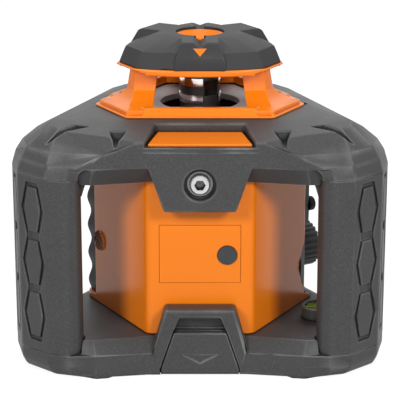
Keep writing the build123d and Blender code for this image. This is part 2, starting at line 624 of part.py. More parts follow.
shelf_floor = tilted_plane(FRONT, SHELF_BACK, SHELF_BACK_Z, SHELF_TILT)
shelf_depth = SHIELD_OUT - SHELF_BACK
shelf_flare = (SHELF_FRONT_HALF - SHELF_BACK_HALF) / shelf_depth
edge_length = hypot(FACET_REACH - CORNER_REACH, CORNER_HALF - FACET_HALF)
edge_out = (CORNER_HALF - FACET_HALF) / edge_length
edge_across = (FACET_REACH - CORNER_REACH) / edge_length
front_brows = ((LEFT_CORNER, 1), (RIGHT_CORNER, -1))
rear_brows = ((LEFT_CORNER, -1), (RIGHT_CORNER, 1))
with BuildPart() as top_shell:
    with BuildSketch(Plane.XY.offset(CEILING_Z)):
        reveal_face(REVEAL_FLAT_HALF, REVEAL_OUT, REVEAL_SHOULDER_HALF, REVEAL_SHOULDER_OUT)
    with BuildSketch(Plane.XY.offset(ARCH_Z)):
        reveal_face(SIDE_FLAT_HALF, SIDE_OUT, SHOULDER_HALF, SHOULDER_OUT)
    loft(ruled=True)
    for corner in CORNERS:
        with BuildSketch(corner_plane(corner, CEILING_Z)):
            post_face(SEAT)
        extrude(amount=SHELL_JOINT - CEILING_Z, mode=Mode.SUBTRACT)
    with BuildSketch(Plane.XY.offset(ARCH_Z)):
        cage_face()
    extrude(amount=ROOF_Z - ARCH_Z)
    for corner in CORNERS:
        with BuildSketch(corner_plane(corner, SHELL_JOINT)):
            post_face()
        extrude(amount=ARCH_Z - SHELL_JOINT)
    for side in SIDES:
        half_space(side, ROOF_OUT, 0, ROOF_Z, ROOF_SLOPE if side == FRONT else REAR_ROOF_SLOPE, 0)
    for corner in CORNERS:
        for hand in (-1, 1):
            if (corner, hand) in rear_brows:
                half_space(corner, REAR_BROW_OUT, 0, REAR_BROW_Z, REAR_BROW_SLOPE, hand * REAR_BROW_FALL)
            else:
                half_space(corner, BROW_OUT, 0, BROW_Z, BROW_SLOPE, hand * BROW_FALL)
            for lean in SHOULDER_LEANS:
                a = radians(lean)
                retreat = SHOULDER_ARC_R * (1 - cos(a))
                z = SHOULDER_FOOT + SHOULDER_ARC_R * sin(a)
                steep = 1 / tan(a)
                half_space(
                    corner,
                    POST_REACH - retreat * facet_across,
                    hand * retreat * facet_in,
                    z,
                    steep * facet_across,
                    -hand * steep * facet_in,
                )
                half_space(
                    corner,
                    FACET_REACH - retreat * edge_out,
                    hand * (FACET_HALF - retreat * edge_across),
                    z,
                    steep * edge_out,
                    hand * steep * edge_across,
                )
    for side in SIDES:
        with BuildSketch(side_plane(side, SHIELD_OUT)):
            side_trapezoid(SHIELD_FOOT, SHIELD_FOOT_HALF, SHIELD_WAIST, SHIELD_WAIST_HALF)
            side_trapezoid(SHIELD_WAIST, SHIELD_WAIST_HALF, SHIELD_TOP, SHIELD_TOP_HALF)
        extrude(amount=HOUSING_OUT + SEAT - SHIELD_OUT)
    with BuildSketch(shelf_floor):
        Polygon(
            (SHELF_BACK_HALF, 0),
            (-SHELF_BACK_HALF, 0),
            (-SHELF_BACK_HALF - 2 * shelf_flare * shelf_depth, -2 * shelf_depth),
            (SHELF_BACK_HALF + 2 * shelf_flare * shelf_depth, -2 * shelf_depth),
            align=None,
        )
    extrude(amount=shelf_depth, mode=Mode.SUBTRACT)
    for hand in (-1, 1):
        with BuildSketch(corner_plane(FRONT, GILL_FLOOR)):
            Polygon(*[(out, hand * half) for out, half in GILL_POINTS][::hand], align=None)
        extrude(amount=ROOF_Z - GILL_FLOOR, mode=Mode.SUBTRACT)
    for corner, hand in front_brows:
        with BuildSketch(tilted_plane(corner, SLASH_OUT, SLASH_FLOOR, SLASH_TILT)):
            Polygon(*[(hand * across, down) for across, down in SLASH_POINTS][::hand], align=None)
        extrude(amount=ROOF_Z - SLASH_FLOOR, mode=Mode.SUBTRACT)
    with BuildSketch(Plane.XY.offset(SHIELD_FOOT)):
        housing_outline(-SEAT)
    extrude(amount=HOUSING_TOP - SHIELD_FOOT, mode=Mode.SUBTRACT)
    with BuildSketch(Plane.XY.offset(HOUSING_TOP)):
        housing_outline(HOUSING_WALL)
    extrude(amount=ROOF_UNDER - HOUSING_TOP, mode=Mode.SUBTRACT)
    with BuildSketch(Plane.XY.offset(ROOF_UNDER)):
        octagon(WELL_OUT)
    extrude(amount=DECK_SEAT - ROOF_UNDER, mode=Mode.SUBTRACT)
    with BuildSketch(Plane.XY.offset(DECK_SEAT)):
        hexagon(DECK_OUT + SEAT, DECK_CORNER_OUT + SEAT)
    extrude(amount=ROOF_Z - DECK_SEAT, mode=Mode.SUBTRACT)
    for side in SIDES:
        with BuildSketch(side_plane(side, SHIELD_OUT)):
            with Locations((0, SCREW_Z)):
                Circle(SCREW_RECESS_R)
        extrude(amount=-SCREW_RECESS_DEPTH, mode=Mode.SUBTRACT)
save(top_shell, "top_shell")

# Badge plate on the front shelf
badge_depth = BADGE_FRONT - SHELF_BACK
badge_back_half = SHELF_BACK_HALF - BADGE_MARGIN
with BuildPart() as badge_plate:
    with BuildSketch(shelf_floor):
        Polygon(
            (badge_back_half, -SEAT),
            (-badge_back_half, -SEAT),
            (-badge_back_half - shelf_flare * badge_depth, -badge_depth),
            (badge_back_half + shelf_flare * badge_depth, -badge_depth),
            align=None,
        )
    extrude(amount=BADGE_THICK)
save(badge_plate, "badge_plate")

# Deck plate round the rotor
with BuildPart() as deck_plate:
    with BuildSketch(Plane.XY.offset(DECK_SEAT)):
        hexagon(DECK_OUT, DECK_CORNER_OUT)
        Circle(DECK_HOLE_R, mode=Mode.SUBTRACT)
    extrude(amount=DECK_THICK)
save(deck_plate, "deck_plate")

# Lantern: head ring with its corners thinned from below, flange, sill and three flared legs
head_reach = from_side(HEAD_EDGE_HALF, HEAD_EDGE_OUT)[0]
lip_rise = (HEAD_RING_H - HEAD_LIP) / (head_reach - HEAD_LIP_START)
with BuildPart() as lantern_frame:
    with BuildSketch(Plane.XY.offset(HEAD_Z)):
        head_face()
        Circle(HEAD_BORE_R, mode=Mode.SUBTRACT)
    extrude(amount=HEAD_RING_H)
    for corner in CORNERS:
        with BuildSketch(radial_plane(corner)):
            Polygon(
                (HEAD_LIP_START, HEAD_Z),
                (head_reach + HEAD_LIP, HEAD_Z),
                (head_reach + HEAD_LIP, HEAD_Z + lip_rise * (head_reach + HEAD_LIP - HEAD_LIP_START)),
                align=None,
            )
        extrude(amount=HEAD_BORE_R, both=True, mode=Mode.SUBTRACT)
    with BuildSketch(Plane.XY.offset(ROOF_Z)):
        hexagon(FLANGE_OUT, FLANGE_CORNER_OUT, FLANGE_ROUND)
    extrude(amount=FLANGE_THICK)
    with BuildSketch(Plane.XY.offset(ROOF_Z)):
        hexagon(SILL_FOOT_OUT, SILL_CORNER_OUT)
    with BuildSketch(Plane.XY.offset(SILL_TOP)):
        hexagon(SILL_TOP_OUT, SILL_CORNER_OUT - SILL_FOOT_OUT + SILL_TOP_OUT)
    loft(ruled=True)
    with BuildSketch(Plane.XY.offset(ROOF_Z)):
        hexagon(MOUTH_OUT, MOUTH_CORNER_OUT)
    extrude(amount=SILL_TOP - ROOF_Z, mode=Mode.SUBTRACT)
    for corner in CORNERS:
        with BuildSketch(corner_plane(corner, ROOF_Z + FLANGE_THICK / 2)):
            leg_face(0)
        for rise in LEG_STEPS:
            with BuildSketch(corner_plane(corner, LEG_FOOT + rise * (LEG_TOP - LEG_FOOT))):
                leg_face(rise)
        loft(ruled=True)
save(lantern_frame, "lantern_frame")

# Cap: leaning bands, lobes at the corners, a sight block on each side and the aperture seat
cap_z = HEAD_Z + HEAD_RING_H
cap_scale = 1 - CAP_STEP / HEAD_BOW_OUT
band_scale = cap_scale - CAP_BAND_INSET / HEAD_BOW_OUT
crown_scale = CAP_CROWN_R / HEAD_BOW_OUT
with BuildPart() as head_cap:
    for z, scale in ((cap_z, cap_scale), (CAP_BAND_TOP, band_scale), (CAP_TOP, crown_scale)):
        with BuildSketch(Plane.XY.offset(z)):
            head_face(scale)
    loft(ruled=True)
    for corner in CORNERS:
        half_space(corner, CAP_LOBE_OUT, 0, CAP_LOBE_Z, CAP_LOBE_SLOPE, 0)
    for side in SIDES:
        for z, reach, half in BLOCK_SECTIONS:
            with BuildSketch(corner_plane(side, z)):
                Polygon((0, -half), (reach, -half), (reach, half), (0, half), align=None)
        loft(ruled=True)
    with BuildSketch(Plane.XY.offset(APERTURE_SEAT)):
        Circle(APERTURE_R + SEAT)
    extrude(amount=CAP_TOP - APERTURE_SEAT, mode=Mode.SUBTRACT)
    with BuildSketch(Plane.XY.offset(APERTURE_SEAT - GLASS_THICK)):
        Circle(GLASS_R + SEAT)
    extrude(amount=GLASS_THICK, mode=Mode.SUBTRACT)
    with BuildSketch(Plane.XY.offset(cap_z)):
        Circle(APERTURE_BORE_R)
    extrude(amount=CAP_TOP - cap_z, mode=Mode.SUBTRACT)
    for side in (FRONT, FRONT + 180):
        with BuildSketch(side_plane(side, APERTURE_R)):
            Polygon(
                (-SIGHT_HALF, CAP_TOP),
                (SIGHT_HALF, CAP_TOP),
                (0, CAP_TOP - SIGHT_DEPTH),
                align=None,
            )
        extrude(amount=HEAD_BOW_OUT, mode=Mode.SUBTRACT)
save(head_cap, "head_cap")

with BuildPart() as aperture_ring:
    with BuildSketch(Plane.XZ):
        Polygon(
            (APERTURE_BORE_R, APERTURE_SEAT),
            (APERTURE_R, APERTURE_SEAT),
            (APERTURE_R, APERTURE_Z),
            (APERTURE_BORE_R, APERTURE_SEAT + GLASS_THICK),
            align=None,
        )
    revolve(axis=Axis.Z)
save(aperture_ring, "aperture_ring")

with BuildPart() as aperture_glass:
    with BuildSketch(Plane.XY.offset(APERTURE_SEAT - GLASS_THICK)):
        Circle(GLASS_R)
    extrude(amount=GLASS_THICK)
save(aperture_glass, "aperture_glass")

# Levelling bracket: plate on pillars with two ears for the gimbal
motor_x = (ARM_X, 0)
motor_y = (0, ARM_Y)
pillar_spots = [place(angle, PILLAR_OUT, 0) for angle in PILLARS]
ear_top = PIVOT_Z + EAR_HALF
with BuildPart() as gimbal_bracket:
    with BuildSketch(Plane.XY.offset(PLATE_Z)):
        hexagon(PLATE_OUT, PLATE_CORNER_OUT)
        octagon(PLATE_HOLE, Mode.SUBTRACT)
        with Locations(motor_x, motor_y):
            Rectangle(2 * (ROD_R + GAP), 2 * (ROD_R + GAP), mode=Mode.SUBTRACT)
    extrude(amount=PLATE_THICK)
    with BuildSketch(Plane.XY.offset(FLOOR_Z)):
        with Locations(*pillar_spots):
            nut_hexagon(PILLAR_R)
    extrude(amount=PLATE_Z - FLOOR_Z)
    for hand in (-1, 1):
        with BuildSketch(Plane.YZ.offset(hand * (EAR_IN + EAR_THICK / 2))):
            Polygon(
                (-EAR_HALF, PLATE_Z),
                (EAR_HALF, PLATE_Z),
                (EAR_HALF, PIVOT_Z),
                (EAR_HALF / 2, ear_top),
                (-EAR_HALF / 2, ear_top),
                (-EAR_HALF, PIVOT_Z),
                align=None,
            )
            with Locations((0, PIVOT_Z)):
                Circle(PIVOT_PIN_R + RUN, mode=Mode.SUBTRACT)
        extrude(amount=EAR_THICK / 2, both=True)
save(gimbal_bracket, "gimbal_bracket")

# Gimbal ring with its pins along X, holes along Y and the fork of the X levelling screw
fork_half = NUT_NECK_HALF + FORK_PLAY
arm_low = PIVOT_Z - ARM_THICK / 2
pin_root = (RING_IN + RING_OUT) / 2
with BuildPart() as gimbal_ring:
    with BuildSketch(Plane.XY.offset(PIVOT_Z - RING_H / 2)):
        octagon(RING_OUT)
        octagon(RING_IN, Mode.SUBTRACT)
    extrude(amount=RING_H)
    for hand in (-1, 1):
        with BuildSketch(Plane.YZ.offset(hand * pin_root)):
            with Locations((0, PIVOT_Z)):
                Circle(PIVOT_PIN_R)
        extrude(amount=hand * (EAR_IN + EAR_THICK - pin_root))
    with BuildSketch(Plane.XY.offset(arm_low)):
        side_box(REAR_CORNER, pin_root, ARM_Y + fork_half, FORK_OUT_HALF)
        side_box(REAR_CORNER, ARM_Y - fork_half, ARM_Y + fork_half, fork_half, Mode.SUBTRACT)
    extrude(amount=ARM_THICK)
    with BuildSketch(Plane.XZ):
        with Locations((0, PIVOT_Z)):
            Circle(PIVOT_PIN_R + RUN)
    extrude(amount=RING_OUT, both=True, mode=Mode.SUBTRACT)
save(gimbal_ring, "gimbal_ring")

# Laser module: tube with its collar and pins along Y, fork arm and the bridge for bearing and motor
module_arm_low = MODULE_ARM_Z - ARM_THICK / 2
with BuildPart() as module_frame:
    with BuildSketch(Plane.XY.offset(TUBE_BOTTOM)):
        Rectangle(2 * TUBE_HALF, 2 * TUBE_HALF)
    extrude(amount=BRIDGE_Z - TUBE_BOTTOM)
    with BuildSketch(Plane.XY.offset(PIVOT_Z - COLLAR_H / 2)):
        octagon(COLLAR_OUT)
    extrude(amount=COLLAR_H)
    with BuildSketch(Plane.XZ):
        with Locations((0, PIVOT_Z)):
            Circle(PIVOT_PIN_R)
    extrude(amount=RING_OUT - GAP, both=True)
    with BuildSketch(Plane.XY.offset(module_arm_low)):
        side_box(0, 0, ARM_X + fork_half, FORK_OUT_HALF)
        side_box(0, ARM_X - fork_half, ARM_X + fork_half, fork_half, Mode.SUBTRACT)
    extrude(amount=ARM_THICK)
    with BuildSketch(Plane.XY.offset(BRIDGE_Z)):
        side_box(180, -TUBE_HALF, MOTOR_OUT + MOTOR_HALF + GAP, TUBE_HALF)
    extrude(amount=BRIDGE_THICK)
    cartridge_low = BRIDGE_Z + BRIDGE_THICK
    with BuildSketch(Plane.XY.offset(cartridge_low)):
        Rectangle(2 * CARTRIDGE_HALF, 2 * CARTRIDGE_HALF)
    extrude(amount=UPPER_BEARING_Z + BEARING_H - cartridge_low)
    with BuildSketch(Plane.XY.offset(LOWER_BEARING_Z)):
        Circle(BEARING_OUT_R)
    extrude(amount=UPPER_BEARING_Z + BEARING_H - LOWER_BEARING_Z, mode=Mode.SUBTRACT)
    with BuildSketch(Plane.XY.offset(TUBE_BOTTOM)):
        octagon(TUBE_BORE)
    extrude(amount=BRIDGE_Z - TUBE_BOTTOM, mode=Mode.SUBTRACT)
    with BuildSketch(Plane.XY.offset(BRIDGE_Z)):
        octagon(BEARING_IN_R)
        with Locations((-MOTOR_OUT, 0)):
            octagon(MOTOR_SHAFT_R + GAP)
    extrude(amount=LOWER_BEARING_Z - BRIDGE_Z, mode=Mode.SUBTRACT)
save(module_frame, "module_frame")

sink_low = TUBE_BOTTOM - SINK_H
fin_pitch = SINK_H / SINK_FINS
with BuildPart() as laser_diode:
    with BuildSketch(Plane.XY.offset(sink_low)):
        Rectangle(2 * SINK_HALF, 2 * SINK_HALF)
    extrude(amount=SINK_H)
    for fin in range(SINK_FINS):
        for hand in (0, 180):
            with BuildSketch(Plane.XY.offset(sink_low + (fin + 0.5) * fin_pitch)):
                side_box(hand, SINK_WEB, 2 * SINK_HALF, 2 * SINK_HALF)
            extrude(amount=fin_pitch / 2, mode=Mode.SUBTRACT)
    with BuildSketch(Plane.XY.offset(TUBE_BOTTOM)):
        octagon(TUBE_BORE - SEAT)
    extrude(amount=DIODE_H)
save(laser_diode, "laser_diode")

with BuildPart() as collimator_lens:
    with BuildSketch(Plane.XY.offset(BRIDGE_Z - LENS_H)):
        octagon(TUBE_BORE - SEAT)
    extrude(amount=LENS_H)
save(collimator_lens, "collimator_lens")

with BuildPart() as spindle_bearings:
    for z in (LOWER_BEARING_Z, UPPER_BEARING_Z):
        with BuildSketch(Plane.XY.offset(z)):
            Circle(BEARING_OUT_R - RUN)
            Circle(BEARING_IN_R + RUN, mode=Mode.SUBTRACT)
        extrude(amount=BEARING_H)
save(spindle_bearings, "spindle_bearings")

with BuildPart() as drive_motor:
    with BuildSketch(Plane.XY.offset(BRIDGE_Z - MOTOR_H)):
        with Locations((-MOTOR_OUT, 0)):
            Rectangle(2 * MOTOR_HALF, 2 * MOTOR_HALF)
    extrude(amount=MOTOR_H)
save(drive_motor, "drive_motor")

with BuildPart() as motor_pulley:
    with BuildSketch(Plane.XY.offset(BRIDGE_Z)):
        with Locations((-MOTOR_OUT, 0)):
            Circle(MOTOR_SHAFT_R)
    extrude(amount=PULLEY_Z + PULLEY_H - BRIDGE_Z)
    with BuildSketch(Plane.XY.offset(PULLEY_Z)):
        with Locations((-MOTOR_OUT, 0)):
            Circle(MOTOR_PULLEY_R)
    extrude(amount=PULLEY_H)
save(motor_pulley, "motor_pulley")

with BuildPart() as drive_belt:
    with BuildSketch(Plane.XY.offset(PULLEY_Z + GAP)):
        Circle(ROTOR_PULLEY_R + BELT_GAP + BELT_THICK)
        with Locations((-MOTOR_OUT, 0)):
            Circle(MOTOR_PULLEY_R + BELT_GAP + BELT_THICK)
        make_hull()
    extrude(amount=PULLEY_H - 2 * GAP)
    with BuildSketch(Plane.XY.offset(PULLEY_Z)):
        Circle(ROTOR_PULLEY_R + BELT_GAP)
        with Locations((-MOTOR_OUT, 0)):
            Circle(MOTOR_PULLEY_R + BELT_GAP)
        make_hull()
    extrude(amount=PULLEY_H, mode=Mode.SUBTRACT)
save(drive_belt, "drive_belt")

# Rotor: hollow spindle, pulley and the head with its window towards the front right
with BuildPart() as rotor_head:
    with BuildSketch(Plane.XY.offset(LOWER_BEARING_Z)):
        Circle(BEARING_IN_R)
    extrude(amount=ROTOR_BOTTOM - LOWER_BEARING_Z)
    with BuildSketch(Plane.XY.offset(UPPER_BEARING_Z + BEARING_H + GAP)):
        Circle(ROTOR_NECK_R)
    extrude(amount=PULLEY_Z - UPPER_BEARING_Z - BEARING_H - GAP)
    with BuildSketch(Plane.XY.offset(ROTOR_BOTTOM)):
        Circle(ROTOR_R)
    extrude(amount=ROTOR_TOP - ROTOR_BOTTOM)
    with BuildSketch(side_plane(ROTOR_AIM, 0)):
        with Locations((0, PRISM_Z)):
            Rectangle(2 * WINDOW_HALF, 2 * WINDOW_HALF)
    extrude(amount=ROTOR_R, mode=Mode.SUBTRACT)
    with BuildSketch(corner_plane(ROTOR_AIM, PRISM_Z - WINDOW_HALF)):
        Rectangle(2 * WINDOW_HALF, 2 * WINDOW_HALF)
    extrude(amount=2 * WINDOW_HALF, mode=Mode.SUBTRACT)
    with BuildSketch(Plane.XY.offset(LOWER_BEARING_Z)):
        octagon(SPINDLE_BORE)
    extrude(amount=ROTOR_TOP - LOWER_BEARING_Z, mode=Mode.SUBTRACT)
save(rotor_head, "rotor_head")

with BuildPart() as rotor_pulley:
    with BuildSketch(Plane.XY.offset(PULLEY_Z)):
        Circle(ROTOR_PULLEY_R)
        Circle(BEARING_IN_R + RUN, mode=Mode.SUBTRACT)
    extrude(amount=PULLEY_H)
save(rotor_pulley, "rotor_pulley")

with BuildPart() as rotor_bands:
    for low in (ROTOR_BAND_LOW, ROTOR_BAND_HIGH):
        with BuildSketch(Plane.XY.offset(low)):
            Circle(ROTOR_R + ROTOR_BAND_THICK)
            Circle(ROTOR_R, mode=Mode.SUBTRACT)
            side_box(ROTOR_AIM, 0, 2 * ROTOR_R, WINDOW_HALF + 1, mode=Mode.SUBTRACT)
        extrude(amount=ROTOR_BAND_H)
save(rotor_bands, "rotor_bands")

prism_half = WINDOW_HALF - SEAT
with BuildPart() as rotor_prism:
    with BuildSketch(corner_plane(ROTOR_AIM, PRISM_Z - prism_half)):
        Rectangle(2 * prism_half, 2 * prism_half)
    extrude(amount=2 * prism_half)
save(rotor_prism, "rotor_prism")

with BuildPart() as rotor_window:
    with BuildSketch(side_plane(ROTOR_AIM, WINDOW_OUT)):
        with Locations((0, PRISM_Z)):
            Rectangle(2 * prism_half, 2 * prism_half)
    extrude(amount=WINDOW_THICK)
save(rotor_window, "rotor_window")

# Levelling motors, screws and nuts
with BuildPart() as level_motors:
    with BuildSketch(Plane.XY.offset(PLATE_Z - LEVEL_MOTOR_H)):
        with Locations(motor_x, motor_y):
            Rectangle(2 * LEVEL_MOTOR_HALF, 2 * LEVEL_MOTOR_HALF)
    extrude(amount=LEVEL_MOTOR_H)
save(level_motors, "level_motors")

with BuildPart() as level_screws:
    with BuildSketch(Plane.XY.offset(PLATE_Z)):
        with Locations(motor_x, motor_y):
            Circle(ROD_R)
    extrude(amount=ROD_TOP - PLATE_Z)
save(level_screws, "level_screws")


def make_nut(spot, middle, name):
    """Spool nut that carries a fork between its two flanges."""
    inside = ARM_THICK / 2 + NUT_PLAY
    low = middle - inside - NUT_FLANGE_H
    with BuildPart() as nut:
        with BuildSketch(Plane.XY.offset(low)):
            with Locations(spot):
                Rectangle(2 * NUT_NECK_HALF, 2 * NUT_NECK_HALF)
        extrude(amount=2 * (inside + NUT_FLANGE_H))
        for z in (low, middle + inside):
            with BuildSketch(Plane.XY.offset(z)):
                with Locations(spot):
                    octagon(NUT_FLANGE_HALF)
            extrude(amount=NUT_FLANGE_H)
        with BuildSketch(Plane.XY.offset(low)):
            with Locations(spot):
                Circle(ROD_R + RUN)
        extrude(amount=2 * (inside + NUT_FLANGE_H), mode=Mode.SUBTRACT)
    save(nut, name)


make_nut(motor_y, PIVOT_Z, "level_nut_x")
make_nut(motor_x, MODULE_ARM_Z, "level_nut_y")

# Keypad mat with a ridge for each row, and the keys
mat_edge = mat_wrap_out + SEAT
with BuildPart() as keypad_mat:
    with BuildSketch(Plane.XY.offset(MAT_LOW)):
        side_box(KEY_SIDE, mat_edge, mat_far, mat_half)
        housing_outline(MAT_RECESS - MAT_THICK, Mode.INTERSECT)
    extrude(amount=MAT_HIGH - MAT_LOW)
    for row in range(KEY_ROWS):
        with BuildSketch(Plane.XY.offset(KEY_FIRST + row * KEY_PITCH)):
            side_box(KEY_SIDE, mat_edge, mat_far, mat_half)
            housing_outline(MAT_CREST, Mode.INTERSECT)
        extrude(amount=MAT_RIDGE_H / 2, both=True, taper=MAT_RIDGE_LEAN)
    with BuildSketch(Plane.XY.offset(MAT_LOW)):
        housing_outline(MAT_RECESS - RUN)
    extrude(amount=MAT_HIGH - MAT_LOW, mode=Mode.SUBTRACT)
    with BuildSketch(side_plane(KEY_SIDE, 0)):
        with Locations(*key_spots):
            key_outline(GAP)
    extrude(amount=mat_far, mode=Mode.SUBTRACT)
save(keypad_mat, "keypad_mat")

mat_floor = HOUSING_OUT - MAT_RECESS
board_front = HOUSING_OUT - HOUSING_WALL - BOARD_GAP
stem_end = board_front + SWITCH_H + KEY_TRAVEL + GAP


def make_key(spot, name):
    """Rubber key with its stem, resting clear of its switch by the travel."""
    with BuildPart() as key:
        with BuildSketch(side_plane(KEY_SIDE, mat_floor + KEY_TRAVEL + GAP)):
            with Locations(spot):
                key_outline()
        extrude(amount=MAT_RECESS + KEY_PROUD - KEY_TRAVEL - GAP)
        with BuildSketch(side_plane(KEY_SIDE, stem_end)):
            with Locations(spot):
                Rectangle(2 * KEY_STEM_HALF, 2 * KEY_STEM_HALF)
        extrude(amount=HOUSING_OUT - stem_end)
    save(key, name)


for number, spot in enumerate(key_spots, 1):
    make_key(spot, f"key_{number}")

with BuildPart() as key_board:
    with BuildSketch(side_plane(KEY_SIDE, board_front)):
        with Locations((0, (PCB_LOW + PCB_HIGH) / 2)):
            Rectangle(2 * PCB_HALF, PCB_HIGH - PCB_LOW)
    extrude(amount=-PCB_THICK)
    with BuildSketch(side_plane(KEY_SIDE, board_front)):
        with Locations(*key_spots):
            Rectangle(SWITCH_SIZE, SWITCH_SIZE)
    extrude(amount=SWITCH_H)
    with BuildSketch(side_plane(KEY_SIDE, board_front)):
        with Locations((0, PCB_LOW), (0, PCB_HIGH)):
            Rectangle(2 * BOARD_LUG_HALF, 2 * BOARD_LUG_HALF)
    extrude(amount=BOARD_GAP)
save(key_board, "key_board")

# Knob side: mat with the power button, dish, knob and encoder
with BuildPart() as knob_mat:
    with BuildSketch(Plane.XY.offset(MAT_LOW)):
        side_box(KNOB_SIDE, mat_edge, mat_far, mat_half)
        housing_outline(MAT_RECESS - MAT_THICK, Mode.INTERSECT)
        housing_outline(MAT_RECESS - RUN, Mode.SUBTRACT)
    extrude(amount=MAT_HIGH - MAT_LOW)
    with BuildSketch(side_plane(KNOB_SIDE, 0)):
        with Locations(dish_centre):
            Circle(DISH_R)
        with Locations((POWER_ALONG, POWER_Z)):
            Circle(POWER_R + GAP)
    extrude(amount=mat_far, mode=Mode.SUBTRACT)
save(knob_mat, "knob_mat")

knob_spot = (KNOB_ALONG, KNOB_Z)
with BuildPart() as knob_dish:
    with BuildSketch(Plane.XY.offset(FLOOR_Z)):
        housing_outline(0)
        side_box(KNOB_SIDE, DISH_BACK + SEAT, DISH_FLOOR, mat_half, mode=Mode.INTERSECT)
    extrude(amount=HOUSING_TOP - FLOOR_Z)
    with BuildSketch(side_plane(KNOB_SIDE, 0)):
        with Locations(dish_centre):
            Circle(DISH_R - SEAT)
    extrude(amount=HOUSING_OUT, mode=Mode.INTERSECT)
    with BuildSketch(side_plane(KNOB_SIDE, 0)):
        with Locations(knob_spot):
            Circle(KNOB_SHAFT_R + RUN)
    extrude(amount=HOUSING_OUT, mode=Mode.SUBTRACT)
save(knob_dish, "knob_dish")

knob_points = []
for flute in range(KNOB_FLUTES):
    for share, cut in FLUTE_SHARES:
        a = radians(360 / KNOB_FLUTES * (flute + share))
        reach = KNOB_R - cut
        knob_points.append((reach * cos(a), reach * sin(a)))
with BuildPart() as knob:
    with BuildSketch(side_plane(KNOB_SIDE, DISH_FLOOR + GAP)):
        with Locations(knob_spot):
            Polygon(*knob_points, align=None)
    extrude(amount=KNOB_H)
    with BuildSketch(side_plane(KNOB_SIDE, DISH_FLOOR + GAP)):
        with Locations(knob_spot):
            Circle(KNOB_SHAFT_R)
    extrude(amount=-KNOB_SHAFT_L)
save(knob, "knob")

with BuildPart() as knob_encoder:
    with BuildSketch(side_plane(KNOB_SIDE, DISH_BACK + SEAT)):
        with Locations(knob_spot):
            Rectangle(2 * ENCODER_HALF, 2 * ENCODER_HALF)
            Circle(KNOB_SHAFT_R + RUN, mode=Mode.SUBTRACT)
    extrude(amount=-ENCODER_H)
save(knob_encoder, "knob_encoder")

with BuildPart() as power_button:
    with BuildSketch(side_plane(KNOB_SIDE, mat_floor + KEY_TRAVEL + GAP)):
        with Locations((POWER_ALONG, POWER_Z)):
            Circle(POWER_R)
    extrude(amount=MAT_RECESS + POWER_PROUD - KEY_TRAVEL - GAP)
    with BuildSketch(side_plane(KNOB_SIDE, HOUSING_OUT - HOUSING_WALL - POWER_STEM)):
        with Locations((POWER_ALONG, POWER_Z)):
            octagon(POWER_STEM_R)
    extrude(amount=HOUSING_WALL + POWER_STEM)
save(power_button, "power_button")

# Label plate, receiver eye and charge jack
with BuildPart() as label_plate:
    with BuildSketch(side_plane(FRONT, HOUSING_OUT - LABEL_DEPTH)):
        with Locations((0, (LABEL_LOW + LABEL_HIGH) / 2)):
            Rectangle(2 * (LABEL_HALF - SEAT), LABEL_HIGH - LABEL_LOW - 2 * SEAT)
        with Locations((EYE_ALONG, EYE_Z)):
            Circle(EYE_R, mode=Mode.SUBTRACT)
    extrude(amount=LABEL_DEPTH)
save(label_plate, "label_plate")

with BuildPart() as receiver_eye:
    with BuildSketch(side_plane(FRONT, HOUSING_OUT - EYE_DEPTH)):
        with Locations((EYE_ALONG, EYE_Z)):
            Circle(EYE_R - SEAT)
    extrude(amount=EYE_DEPTH + EYE_PROUD)
save(receiver_eye, "receiver_eye")

with BuildPart() as charge_jack:
    with BuildSketch(side_plane(LEFT_CORNER, HOUSING_CORNER_OUT + SOCKET_RIM - JACK_DEPTH)):
        with Locations((SOCKET_ACROSS, SOCKET_Z)):
            octagon(JACK_HALF)
    extrude(amount=JACK_DEPTH - SOCKET_RIM)
    with BuildSketch(side_plane(LEFT_CORNER, HOUSING_CORNER_OUT)):
        with Locations((SOCKET_ACROSS, SOCKET_Z)):
            Circle(JACK_BORE_R)
    extrude(amount=SOCKET_RIM - JACK_DEPTH + 1.5, mode=Mode.SUBTRACT)
save(charge_jack, "charge_jack")

# Circular vial on the floor beside the right post
vial_spot = place(RIGHT_CORNER, VIAL_OUT, VIAL_ACROSS)
with BuildPart() as vial_holder:
    with BuildSketch(Plane.XY.offset(FLOOR_Z)):
        with Locations(vial_spot):
            Circle(VIAL_R)
    extrude(amount=VIAL_H)
    with BuildSketch(Plane.XY.offset(FLOOR_Z + VIAL_WALL)):
        with Locations(vial_spot):
            Circle(VIAL_R - VIAL_WALL)
    extrude(amount=VIAL_H, mode=Mode.SUBTRACT)
save(vial_holder, "vial_holder")

with BuildPart() as vial_liquid:
    with BuildSketch(Plane.XY.offset(FLOOR_Z + VIAL_WALL)):
        with Locations(vial_spot):
            Circle(VIAL_R - VIAL_WALL - SEAT)
    extrude(amount=VIAL_H - VIAL_WALL - VIAL_LENS_H)
save(vial_liquid, "vial_liquid")

with BuildPart() as vial_lens:
    with BuildSketch(Plane.XY.offset(FLOOR_Z + VIAL_H - VIAL_LENS_H)):
        with Locations(vial_spot):
            Circle(VIAL_R - VIAL_WALL - SEAT)
    extrude(amount=VIAL_LENS_H)
save(vial_lens, "vial_lens")
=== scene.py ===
import json
import math

import bmesh
import bpy
from mathutils import Matrix, Vector


